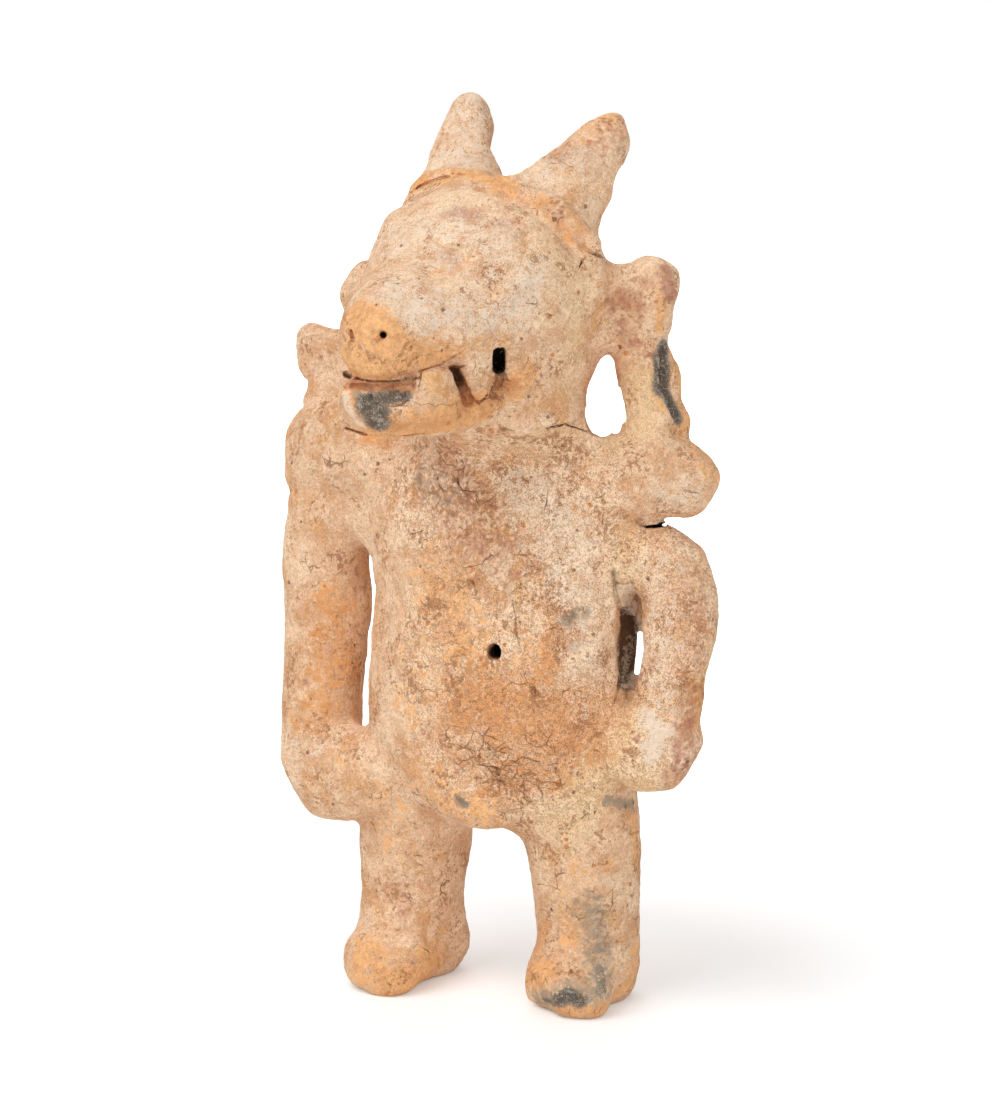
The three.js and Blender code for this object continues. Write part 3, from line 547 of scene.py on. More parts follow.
class Sculptor:
    """Works the skin of one mesh with pulls, dents and grooves."""

    def __init__(self, piece: Piece) -> None:
        """Takes up a piece of clay."""
        self.piece = piece
        self.read()

    def read(self) -> None:
        """Reads the skin's points and normals from the mesh."""
        self.points = rows(self.piece.data.vertices)
        self.normals = rows(self.piece.data.vertex_normals, "vector")
        self.tree = BVHTree.FromObject(self.piece, bpy.context.evaluated_depsgraph_get())

    def write(self) -> None:
        """Writes the worked points back and reads the skin again."""
        self.piece.data.vertices.foreach_set("co", self.points.ravel())
        self.piece.data.update()
        bpy.context.view_layer.update()
        self.read()

    def under(self, across: float, down: float) -> Vector:
        """Finds the point of the skin that a pixel of the photograph shows.

        Args:
            across: Pixels from the left.
            down: Pixels from the top.

        Returns:
            The point that is hit, or the skin's point nearest the line of sight.
        """
        ray = CAMERA.ray(across, down)
        hit = self.tree.ray_cast(CAMERA.stand, ray)[0]
        if hit is not None:
            return hit
        offset = self.points - np.array(CAMERA.stand)
        along = offset @ np.array(ray)
        aside = np.linalg.norm(offset - along[:, None] * np.array(ray), axis=1)
        return Vector(self.points[int(np.argmin(aside))])

    def falloff(self, at: Vector, reach: float) -> np.ndarray:
        """Returns a smooth weight for each point, from 1 at a place to 0 at its reach."""
        gap = np.linalg.norm(self.points - np.array(at), axis=1) / (reach * MM)
        return hump(gap, PULL_POWER)

    def pull(self, note: Pull) -> None:
        """Pulls the clay under one pixel towards another."""
        weight = self.falloff(self.under(*note.start), note.reach)
        if note.facing is not None:
            facing = self.normals @ np.array(note.facing)
            weight *= np.clip(facing * FACING_GAIN + FACING_START, 0.0, 1.0)
        self.points += weight[:, None] * np.array(CAMERA.shift(note.start, note.end))

    def soften(self, joints: Iterable[Dab], repeats: int) -> None:
        """Rubs joints smooth.

        Args:
            joints: The middle of each joint and its reach.
            repeats: How often the skin there is smoothed.
        """
        weight = np.zeros(len(self.points))
        for joint in joints:
            near = self.falloff(self.under(*joint.at), joint.reach)
            weight = np.maximum(weight, near**JOINT_POWER)
        group = self.piece.vertex_groups.new(name="joints")
        for index in np.flatnonzero(weight > LEAST_WEIGHT):
            group.add([int(index)], float(weight[index]), "REPLACE")
        apply(self.piece, "SMOOTH", factor=RUB, iterations=repeats, vertex_group="joints")
        self.piece.vertex_groups.clear()
        self.read()

    def stand_on_floor(self) -> None:
        """Flattens whatever hangs below the floor, as the soles are."""
        self.points[:, 2] = np.maximum(self.points[:, 2], 0.0)

    def press(self, dab: Dab) -> None:
        """Presses the clay in along its normals, or swells it where the depth is negative."""
        weight = self.falloff(self.under(*dab.at), dab.reach)
        self.points -= weight[:, None] * self.normals * dab.depth * MM

    def groove(self, furrow: Furrow) -> None:
        """Draws a furrow along a line on the skin."""
        line = [self.under(*pixel) for pixel in furrow.path]
        gap = distance_to_line(self.points, line) / (furrow.width / 2 * MM)
        weight = hump(gap, GROOVE_POWER)
        self.points -= weight[:, None] * self.normals * furrow.depth * MM


# Nodes of materials


@dataclass(frozen=True)
class Tint:
    """A colour as it reflects, red, green and blue from 0 to 1."""

    red: float
    green: float
    blue: float

    def rgba(self) -> tuple[float, float, float, float]:
        """Returns the colour with full cover."""
        return self.red, self.green, self.blue, 1.0


@dataclass(frozen=True)
class Band:
    """A step between two bounds of a value, and what it gives at each."""

    low: float
    high: float
    start: float = 0.0
    end: float = 1.0


COLOUR_A = 6  # the mix node's colour inputs and output stand after its number and vector ones
COLOUR_B = 7
COLOUR_OUT = 2


class NodeBench:
    """Wires the nodes of one material or world."""

    def __init__(self, owner: bpy.types.Material | bpy.types.World) -> None:
        """Empties the owner's tree of nodes."""
        owner.use_nodes = True
        self.tree = owner.node_tree
        self.tree.nodes.clear()

    def add(
        self, kind: str, inputs: dict[str | int, object] | None = None, **settings: object
    ) -> bpy.types.Node:
        """Adds a node.

        Args:
            kind: The node's type.
            inputs: What its inputs are fed, by their names or numbers.
            **settings: The node's own settings.

        Returns:
            The node.
        """
        node = self.tree.nodes.new(kind)
        for name, value in settings.items():
            setattr(node, name, value)
        for key, value in (inputs or {}).items():
            if isinstance(value, Socket):
                self.tree.links.new(value, node.inputs[key])
            else:
                node.inputs[key].default_value = value.rgba() if isinstance(value, Tint) else value
        return node

    def step(self, value: Value, band: Band, kind: str = "SMOOTHSTEP") -> Socket:
        """Returns a step of a value."""
        inputs = {
            "Value": value,
            "From Min": band.low,
            "From Max": band.high,
            "To Min": band.start,
            "To Max": band.end,
        }
        return self.add("ShaderNodeMapRange", inputs, interpolation_type=kind).outputs["Result"]

    def math(self, operation: str, first: Value, second: Value) -> Socket:
        """Returns what an operation makes of two values."""
        return self.add("ShaderNodeMath", {0: first, 1: second}, operation=operation).outputs[0]

    def times(self, value: Value, by: Value) -> Socket:
        """Returns a product."""
        return self.math("MULTIPLY", value, by)

    def plus(self, first: Value, *others: Value) -> Value:
        """Returns a sum."""
        for other in others:
            first = self.math("ADD", first, other)
        return first

    def mix(self, share: Value, first: object, second: object, blend: str = "MIX") -> Socket:
        """Returns a mix of two colours, or their product with the blend MULTIPLY."""
        inputs = {0: share, COLOUR_A: first, COLOUR_B: second}
        node = self.add("ShaderNodeMix", inputs, data_type="RGBA", blend_type=blend)
        return node.outputs[COLOUR_OUT]


# The studio


@dataclass(frozen=True)
class Lamp:
    """A square soft lamp: its place in millimetres, its size in metres and its power."""

    name: str
    at: Spot
    size: float
    power: float

    def build(self, aim: Spot) -> None:
        """Adds the lamp and turns it to its aim."""
        data = bpy.data.lights.new(self.name, "AREA")
        data.shape = "SQUARE"
        data.size = self.size
        data.energy = self.power
        aim_at(link(bpy.data.objects.new(self.name, data)), place(*self.at), place(*aim))


@dataclass(frozen=True)
class Studio:
    """A plain pale floor and soft lamps."""

    lamps: tuple[Lamp, ...] = (
        Lamp("key_lamp", (-480, -760, 1250), 1.4, 13.5),
        Lamp("fill_lamp", (900, -700, 500), 1.1, 4.2),
        Lamp("back_lamp", (-500, 900, 800), 1.0, 4.2),
    )
    lamp_aim: Spot = (0, 0, 100)
    sky: float = 0.45
    floor_size: float = 6.0
    floor: Tint = Tint(0.9, 0.9, 0.9)
    floor_glow: Band = Band(0.08, 0.45, 0.22, 1.0)
    white: Tint = Tint(1.0, 1.0, 1.0)

    def build(self) -> None:
        """Adds the floor, the lamps and the sky."""
        self.add_floor()
        for lamp in self.lamps:
            lamp.build(self.lamp_aim)
        self.add_sky()

    def add_sky(self) -> None:
        """Lights the figure evenly; the camera sees plain white."""
        world = bpy.data.worlds.new("studio_sky")
        bpy.context.scene.world = world
        bench = NodeBench(world)
        seen = bench.add("ShaderNodeLightPath").outputs["Is Camera Ray"]
        soft, plain = (
            bench.add("ShaderNodeBackground", {"Color": self.white, "Strength": power}).outputs[0]
            for power in (self.sky, 1.0)
        )
        sky = bench.add("ShaderNodeMixShader", {0: seen, 1: soft, 2: plain})
        bench.add("ShaderNodeOutputWorld", {"Surface": sky.outputs[0]})

    def add_floor(self) -> None:
        """Lays the floor, which looks white but keeps the figure's shadow."""
        bpy.ops.object.select_all(action="DESELECT")
        bpy.ops.mesh.primitive_plane_add(size=self.floor_size, location=ORIGIN)
        floor = bpy.context.active_object
        floor.name = "studio_floor"
        material = bpy.data.materials.new("pale_floor")
        bench = NodeBench(material)
        matt = bench.add("ShaderNodeBsdfDiffuse", {"Color": self.floor})
        where = bench.add("ShaderNodeTexCoord").outputs["Object"]
        far = bench.add("ShaderNodeVectorMath", {0: where}, operation="LENGTH").outputs["Value"]
        seen = bench.add("ShaderNodeLightPath").outputs["Is Camera Ray"]
        shown = bench.times(bench.step(far, self.floor_glow, "LINEAR"), seen)
        glow = bench.add("ShaderNodeEmission", {"Color": self.white, "Strength": shown})
        both = bench.add("ShaderNodeAddShader", {0: matt.outputs[0], 1: glow.outputs[0]})
        bench.add("ShaderNodeOutputMaterial", {"Surface": both.outputs[0]})
        floor.data.materials.append(material)


# The figure's sub-assemblies


@dataclass
class SubAssembly:
    """A group of pieces that are formed together."""

    parts: tuple[Part, ...] = ()
    pulls: tuple[Pull, ...] = ()
    joints: tuple[Dab, ...] = ()
    dabs: tuple[Dab, ...] = ()
    furrows: tuple[Furrow, ...] = ()
    clefts: tuple[Cleft, ...] = ()
    openings: tuple[Opening, ...] = ()
    marks: tuple[Mark, ...] = ()
    cracks: tuple[Crack, ...] = ()

    def nodes(self) -> list[str]:
        """Returns the names of the sub-assembly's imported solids."""
        return [part.node for part in self.parts]

    def copies(self, nodes: Iterable[str] | None = None, grow: float = SLIP_FILM) -> list[Piece]:
        """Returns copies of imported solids, each a little swollen to close its film of slip."""
        forms = [copy_node(node) for node in (self.nodes() if nodes is None else nodes)]
        for form in forms:
            swell(form, grow)
        return forms


@dataclass
class Trunk(SubAssembly):
    """The hollow torso with its neck, its groin lump and the blowing end on its back."""

    creases: float = 4.0
    strokes: int = 16
    neck_middle: Spot = (5.5, 0.0, 143.0)
    neck_size: Spot = (45.0, 32.0, 16.0)

    def rough(self, lower: list[Piece]) -> Piece:
        """Returns the trunk luted to the legs and lobes."""
        return knead("trunk", [*self.copies(), *lower], self.creases, self.strokes)

    def neck_fill(self) -> Piece:
        """Returns the clay that thickens the neck."""
        return lump("neck_fill", self.neck_middle, self.neck_size)


@dataclass
class Head(SubAssembly):
    """The domed head with its crown band, horns and ear plates."""

    face_creases: float = 9.0
    face_strokes: int = 20
    creases: float = 1.6
    strokes: int = 5

    def rough(self, muzzle: list[Piece]) -> Piece:
        """Returns the head with its muzzle, crown, horns and plates."""
        dome, *rest = self.nodes()
        face_forms = [*self.copies([dome]), *muzzle]
        head = knead("face", face_forms, self.face_creases, self.face_strokes)
        return knead("head", [head, *self.copies(rest)], self.creases, self.strokes)


@dataclass
class Jaws(SubAssembly):
    """The muzzle, the lower jaw, the tongue and the four fangs."""

    jaw_grow: float = 0.4
    jaw_strokes: int = 6
    fang_strokes: int = 3

    def fang_nodes(self) -> list[str]:
        """Returns the names of the fangs and the tongue."""
        return [node for node in self.nodes() if not node.endswith("jaw")]

    def muzzle(self) -> list[Piece]:
        """Returns the upper jaw's form."""
        return self.copies(["upper_jaw"])

    def jaw(self) -> Piece:
        """Returns the lower jaw's form."""
        forms = self.copies(["lower_jaw"], self.jaw_grow)
        return knead("jaw", forms, strokes=self.jaw_strokes)

    def fangs(self) -> Piece:
        """Returns the fangs and the tongue."""
        forms = self.copies(self.fang_nodes())
        return knead("fangs", forms, strokes=self.fang_strokes, voxel=FINE_VOXEL)


@dataclass
class Shoulders(SubAssembly):
    """The shoulder lobes, the struts that carry the ear plates, and the knob."""

    strokes: int = 8

    def lobe_nodes(self) -> list[str]:
        """Returns the names of the lobes."""
        return [node for node in self.nodes() if "lobe" in node]

    def strut_nodes(self) -> list[str]:
        """Returns the names of the struts and the knob."""
        return [node for node in self.nodes() if "lobe" not in node]

    def lobes(self) -> list[Piece]:
        """Returns the lobes' forms."""
        return self.copies(self.lobe_nodes())

    def struts(self) -> Piece:
        """Returns the struts and the knob."""
        return knead("struts", self.copies(self.strut_nodes()), strokes=self.strokes)


@dataclass
class Arms(SubAssembly):
    """The two bent rolls whose hands rest on the hips."""

    grow: float = 0.45
    strokes: int = 14

    def rough(self) -> Piece:
        """Returns the two arms."""
        return knead("arms", self.copies(grow=self.grow), strokes=self.strokes)


@dataclass
class Legs(SubAssembly):
    """The legs and feet."""

    def rough(self) -> list[Piece]:
        """Returns the forms of the legs and feet."""
        return self.copies()


@dataclass(frozen=True)
class SoundingParts:
    """The hollow of the body, the wind's way into it and the edge it meets, in millimetres."""

    edge: str = "labium"
    edge_voxel: float = 0.35
    edge_strokes: int = 3
    chamber_middle: Spot = (3.4, 9.5, 88.0)
    chamber_size: Spot = (52.0, 31.0, 82.0)
    head_middle: Spot = (1.0, 6.0, 170.0)
    head_size: Spot = (38.0, 34.0, 34.0)
    windway_width: float = 9.0
    windway_thickness: float = 1.8
    windway_length: float = 40.0
    windway_rise: float = 14.0
    window_height: float = 3.8
    window_depth: float = 18.0
    inset: float = 2.0
    labium_rise: float = 2.4
    lean: float = 8.43

    def cutters(self) -> list[Piece]:
        """Returns the forms of the hollows, the window and the windway."""
        low, high = (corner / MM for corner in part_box(self.edge))
        middle = (low.x + high.x) / 2
        skin = high.y - self.labium_rise
        chamber = lump("chamber", self.chamber_middle, self.chamber_size)
        head = lump("head_hollow", self.head_middle, self.head_size)
        window = lump(
            "window",
            (middle, skin - self.inset, high.z + self.window_height / 2),
            (self.windway_width, self.window_depth, self.window_height),
        )
        foot = high.z + self.window_height
        windway = lump(
            "windway",
            (middle, skin + self.windway_thickness / 2 + self.inset, foot + self.windway_rise),
            (self.windway_width, self.windway_thickness, self.windway_length),
            self.lean,
        )
        return [chamber, head, window, windway]

    def labium(self) -> Piece:
        """Returns the edge that splits the air, with its corners worn round."""
        piece = copy_node(self.edge)
        even_out(piece, self.edge_voxel)
        stroke_smooth(piece, self.edge_strokes)
        return piece


# Cutting


def cut(piece: Piece, form: Piece, operation: str = "DIFFERENCE") -> None:
    """Cuts a form out of a piece, or meets or joins the two with another operation."""
    apply(piece, "BOOLEAN", operation=operation, object=form, solver="MANIFOLD")


def part_off(clay: Piece, form: Piece, name: str) -> Piece:
    """Parts what lies in a form from the clay.

    Args:
        clay: The clay, which keeps the rest.
        form: The form of the cut, which is used up.
        name: The new piece's name.

    Returns:
        The piece that was parted off.
    """
    piece = duplicate(clay, name)
    cut(piece, form, "INTERSECT")
    cut(clay, form)
    drop(form)
    return piece


def cut_form(nodes: Iterable[str], reach: float) -> Piece:
    """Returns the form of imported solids, grown by a reach in millimetres, to cut with."""
    forms = [copy_node(node) for node in nodes]
    for form in forms:
        swell(form, reach)
    form = join(forms, "cut_form")
    even_out(form, CUTTER_VOXEL)
    return form


def cut_block(name: str, low: Spot, high: Spot) -> Piece:
    """Returns a block between two corners in millimetres, to cut with."""
    block = cube(name)
    edit(block)
    bpy.ops.transform.resize(value=(Vector(high) - Vector(low)) * MM, center_override=ORIGIN)
    bpy.ops.transform.translate(value=(Vector(low) + Vector(high)) / 2 * MM)
    leave_edit()
    return block


def opening_form(opening: Opening, hands: Sculptor) -> Piece:
    """Returns the form that cuts an opening into the skin."""
    at = hands.under(*opening.at)
    inward = Vector(opening.axis).normalized()
    side = inward.cross(UPWARDS).normalized()
    size = (opening.width, 2 * opening.depth, opening.height)
    form = lump(opening.name.replace(" ", "_"), ORIGIN, size)
    turned = Matrix((side, inward, side.cross(inward))).transposed().to_4x4()
    form.data.transform(Matrix.Translation(at) @ turned)
    return form


def cleft_form(clefts: Iterable[Cleft], hands: Sculptor) -> Piece:
    """Returns the ragged form that cuts all the clefts into the skin."""
    bpy.ops.object.select_all(action="DESELECT")
    bpy.ops.mesh.primitive_ico_sphere_add(subdivisions=2, radius=1.0, location=ORIGIN)
    ball = bpy.context.active_object
    unit = rows(ball.data.vertices)
    faces = [tuple(face.vertices) for face in ball.data.polygons]
    drop(ball)
    points, all_faces = [], []
    for cleft in clefts:
        for at, view, half, depth in beads(cleft, hands):
            turned = np.array(view.to_track_quat("Y", "Z").to_matrix())
            shape = unit * np.array((half, depth, half)) * MM
            all_faces += [tuple(i + len(points) * len(unit) for i in face) for face in faces]
            points.append(shape @ turned.T + np.array(at))
    mesh = bpy.data.meshes.new("clefts")
    mesh.from_pydata(np.concatenate(points).tolist(), [], all_faces)
    form = link(bpy.data.objects.new("clefts", mesh))
    even_out(form, BEAD_VOXEL)
    crumble(form, RAGGED)
    return form


def beads(cleft: Cleft, hands: Sculptor) -> Iterable[tuple[Vector, Vector, float, float]]:
    """Yields a cleft's beads close together, each with its place, view, half width and depth."""
    found = []
    for across, down, half, depth in cleft.beads:
        at = hands.under(across, down)
        found.append((at, CAMERA.ray(across, down), half, depth))
    for first, last in zip(found, found[1:]):
        steps = max(1, math.ceil((last[0] - first[0]).length / (BEAD_STEP * MM)))
        for step in range(steps + 1):
            share = step / steps
            yield (
                first[0].lerp(last[0], share),
                first[1].lerp(last[1], share),
                first[2] + (last[2] - first[2]) * share,
                first[3] + (last[3] - first[3]) * share,
            )


# The clay's finish


UMBER = Tint(0.44, 0.20, 0.09)
RUST = Tint(0.66, 0.27, 0.095)
CRUST = Tint(0.96, 0.79, 0.62)
LINE = Tint(0.25, 0.09, 0.035)


@dataclass(frozen=True)
class Noise:
    """A cloudy pattern: its size in mm, its shift in metres and how far its blots are torn."""

    size: float
    detail: float
    rough: float
    shift: float = 0.0
    torn: float = 0.0


@dataclass(frozen=True)
class Net:
    """The edges of cells: their size and wobble in mm, their shift in metres, their width."""

    size: float
    wobble: float
    shift: float
    width: Band


@dataclass(frozen=True)
class Specks:
    """Scattered specks of one colour.

    The size is the mean distance of the cells that may hold one, in mm. The reach is the
    largest radius as a share of it, thin tells how many cells stay empty, from 0 to 1, and
    the shift, in metres, moves the pattern.
    """

    tint: Tint
    cover: float
    size: float
    reach: float
    thin: float
    shift: float


@dataclass(frozen=True)
class Coat:
    """What one painted layer lays on the clay, how densely, and how torn its edge is."""

    layer: Layer
    tint: Tint
    cover: float
    torn: float


@dataclass(frozen=True)
class ClayFinish:
    """The colours of the weathered clay, with the shade painted into its holes and gaps, and where
    each starts and ends.
    """

    ground: tuple[Tint, Tint] = (Tint(0.70, 0.39, 0.205), Tint(0.90, 0.60, 0.37))
    ground_band: Band = Band(0.38, 0.6)
    amber: Tint = Tint(0.88, 0.48, 0.20)
    amber_band: Band = Band(0.47, 0.34, 0.0, 0.5)
    rust_band: Band = Band(0.54, 0.62, 0.0, 0.45)
    slip: Tint = Tint(0.96, 0.72, 0.51)
    plaque_band: Band = Band(0.45, 0.57)
    sanded_plaque: Band = Band(0.0, 1.0, 0.4, 0.6)
    pink: Tint = Tint(0.75, 0.43, 0.28)
    pink_band: Band = Band(0.45, 0.34, 0.0, 0.5)
    umber_band: Band = Band(0.57, 0.66, 0.0, 0.55)
    bare: Coat = Coat(Layer.BARE, Tint(0.76, 0.36, 0.145), 0.9, 2.6)
    bare_light: Tint = Tint(0.95, 0.51, 0.22)
    bare_band: Band = Band(0.36, 0.6)
    earth: Tint = Tint(0.93, 0.67, 0.38)
    earth_cover: float = 0.75
    rust: Coat = Coat(Layer.RUST, RUST, 0.66, 2.0)
    chip_band: Band = Band(0.63, 0.72, 0.0, 0.75)
    stain: Coat = Coat(Layer.STAIN, Tint(0.44, 0.17, 0.11), 0.72, 2.6)
    spots: Specks = Specks(RUST, 1.0, 2.9, 0.26, 0.8, 3.1)
    grain: tuple[Tint, Tint] = (Tint(0.68, 0.62, 0.56), Tint(1.36, 1.43, 1.52))
    grain_band: Band = Band(-0.5, 0.5)
    sanded_grain: Band = Band(0.0, 1.0, 0.7, 1.5)
    bared_grain: Band = Band(0.0, 1.0, 1.0, 0.5)
    coats: tuple[Coat, ...] = (
        Coat(Layer.ASH, Tint(0.33, 0.28, 0.21), 0.72, 3.0),
        # grime and painted shade in gaps, slits and the armpit
        Coat(Layer.GRIME, Tint(0.15, 0.075, 0.035), 0.92, 1.2),
        Coat(Layer.CRUST, CRUST, 0.78, 3.0),
        # near-black painted shade deep in holes and cracks
        Coat(Layer.SOOT, Tint(0.02, 0.01, 0.006), 1.0, 0.4),
    )
    char: Coat = Coat(Layer.CHAR, Tint(0.075, 0.062, 0.05), 0.94, 2.6)
    char_light: Tint = Tint(0.46, 0.40, 0.33)
    char_band: Band = Band(-0.08, 0.3)
    pits: Specks = Specks(Tint(0.25, 0.10, 0.045), 0.8, 3.8, 0.17, 0.6, 0.4)
    dots: Specks = Specks(UMBER, 0.4, 1.25, 0.26, 0.55, 1.9)
    crumbs: Specks = Specks(CRUST, 0.4, 1.5, 0.28, 0.6, 0.9)
    craze: Net = Net(2.6, 1.4, 0.0, Band(0.055, 0.015))
    craze_band: Band = Band(0.5, 0.9)
    hairs: Net = Net(6.5, 3.4, 1.6, Band(0.022, 0.006))
    hair_band: Band = Band(0.5, 0.58)
    hair_cover: float = 0.68
    crack_band: Band = Band(0.3, 0.08)
    crack_cover: float = 0.9
    roughness: Band = Band(0.3, 0.7, 0.8, 0.97)
    shine: float = 0.25


@dataclass(frozen=True)
class ClayPattern:
    """The noises that the clay's colours follow, and how much of one is in another."""

    patch: Noise = Noise(12.0, 5.0, 0.6)
    cloud: Noise = Noise(5.0, 7.0, 0.6, 0.31, 0.5)
    fleck: Noise = Noise(2.0, 5.0, 0.7, 0.77)
    grit: Noise = Noise(0.3, 2.0, 0.7, 1.13)
    blots: Noise = Noise(7.0, 7.0, 0.7, 2.7)
    chips: Noise = Noise(1.1, 3.0, 0.6, 3.6)
    clusters: Noise = Noise(8.0, 2.0, 0.5, 6.1)
    hair_places: Noise = Noise(6.0, 1.0, 0.5, 5.2)
    wander: Noise = Noise(1.6, 3.0, 0.6, 4.4)
    crumb_size: float = 0.7
    crumb_wobble: float = 0.8
    speck_wave: float = 0.7
    speck_wobble: float = 0.9
    speck_edge: Band = Band(0.0, -0.08)
    net_wave: float = 0.6  # the waves of a net's wobble, as a share of its size
    mean: float = 0.5
    slip_in_plaques: float = 0.07
    crumb_in_plaques: float = 0.07
    crumb_in_blots: float = 0.14
    sand_in_blots: float = 0.03
    clusters_in_chips: float = 0.9
    sand_in_chips: float = 0.05
    grit_in_grain: float = 2.0
    crumb_in_grain: float = 0.34
    fleck_in_grain: float = 0.5
    fleck_in_embers: float = 1.4
    grit_in_embers: float = 1.2
    cloud_in_craze: float = 2.2
    craze_in_hairs: float = 0.25
    wander_in_cracks: float = 1.6
    frayed: float = 0.8  # how far the finer noise tears an edge, as a share of the coarser one
    paint_edge: Band = Band(0.02, 0.2)
    cover_edge: Band = Band(0.22, 0.78)


@dataclass(frozen=True)
class ClayRelief:
    """The finest relief: its depth in mm, and what raises it or, below 0, cuts it."""

    depth: float = 0.4
    strength: float = 1.0
    grit: float = 0.5
    cloud: float = 1.5
    crumb: float = 0.3
    plaques: float = 0.25
    pits: float = -0.7
    lines: float = -0.5
    cracks: float = -1.5


class ClayBench(NodeBench):
    """Wires the patterns of the clay."""

    def __init__(self, material: bpy.types.Material, pattern: ClayPattern) -> None:
        """Starts with the place that is shaded."""
        super().__init__(material)
        self.pattern = pattern
        self.place = self.add("ShaderNodeTexCoord").outputs["Object"]
        self.bent = self.bend(pattern.speck_wave, pattern.speck_wobble)

    def texture(self, kind: str, at: Socket, size: float, **settings: object) -> bpy.types.Node:
        """Adds a texture over a place, with its size in millimetres."""
        return self.add(kind, {"Vector": at, "Scale": 1.0 / (size * MM)}, **settings)

    def noise(self, noise: Noise) -> Socket:
        """Returns a noise."""
        node = self.texture("ShaderNodeTexNoise", self.moved(noise.shift), noise.size)
        node.inputs["Detail"].default_value = noise.detail
        node.inputs["Roughness"].default_value = noise.rough
        node.inputs["Distortion"].default_value = noise.torn
        return node.outputs["Fac"]

    def bend(self, size: float, reach: float, start: Socket | None = None) -> Socket:
        """Bends a place.

        Args:
            size: The size of the waves in millimetres.
            reach: How far the place is bent at most, in millimetres.
            start: The place, or the one that is shaded where it is left out.

        Returns:
            The bent place.
        """
        start = start or self.place
        wave = self.texture("ShaderNodeTexNoise", start, size).outputs["Color"]
        inputs = {0: wave, 1: (reach * MM,) * 3, 2: start}
        return self.add("ShaderNodeVectorMath", inputs, operation="MULTIPLY_ADD").outputs[0]

    def moved(self, shift: float, start: Socket | None = None) -> Socket:
        """Returns a place, moved by a shift in metres so that patterns differ."""
        start = start or self.place
        if not shift:
            return start
        inputs = {0: start, 1: (shift, -shift, shift / 2)}
        return self.add("ShaderNodeVectorMath", inputs, operation="ADD").outputs[0]

    def net(self, net: Net) -> Socket:
        """Returns the cover of a net of lines."""
        wave = net.size * self.pattern.net_wave
        at = self.bend(wave, net.wobble, self.moved(net.shift))
        node = self.texture("ShaderNodeTexVoronoi", at, net.size, feature="DISTANCE_TO_EDGE")
        return self.step(node.outputs["Distance"], net.width)

    def cells(self, at: Socket, size: float) -> tuple[Socket, Socket, Socket]:
        """Returns the distance in a pattern of cells and two values of chance for each cell."""
        node = self.texture("ShaderNodeTexVoronoi", at, size, feature="F1")
        parted = self.add("ShaderNodeSeparateColor", {0: node.outputs["Color"]})
        return node.outputs["Distance"], parted.outputs[0], parted.outputs[1]

    def specks(self, specks: Specks) -> Socket:
        """Returns the cover of scattered specks."""
        distance, chance, _ = self.cells(self.moved(specks.shift, self.bent), specks.size)
        reach = self.step(chance, Band(specks.thin, 1.0, 0.0, specks.reach))
        return self.step(self.math("SUBTRACT", distance, reach), self.pattern.speck_edge)

    def layer(self, layer: Layer) -> Socket:
        """Returns one painted layer of the piece."""
        node = self.add(
            "ShaderNodeAttribute", attribute_type="GEOMETRY", attribute_name=layer.value
        )
        return node.outputs["Fac"]

    def swing(self, value: Value, by: float) -> Socket:
        """Returns a noise's departure from its mean, times a factor."""
        return self.times(self.math("SUBTRACT", value, self.pattern.mean), by)


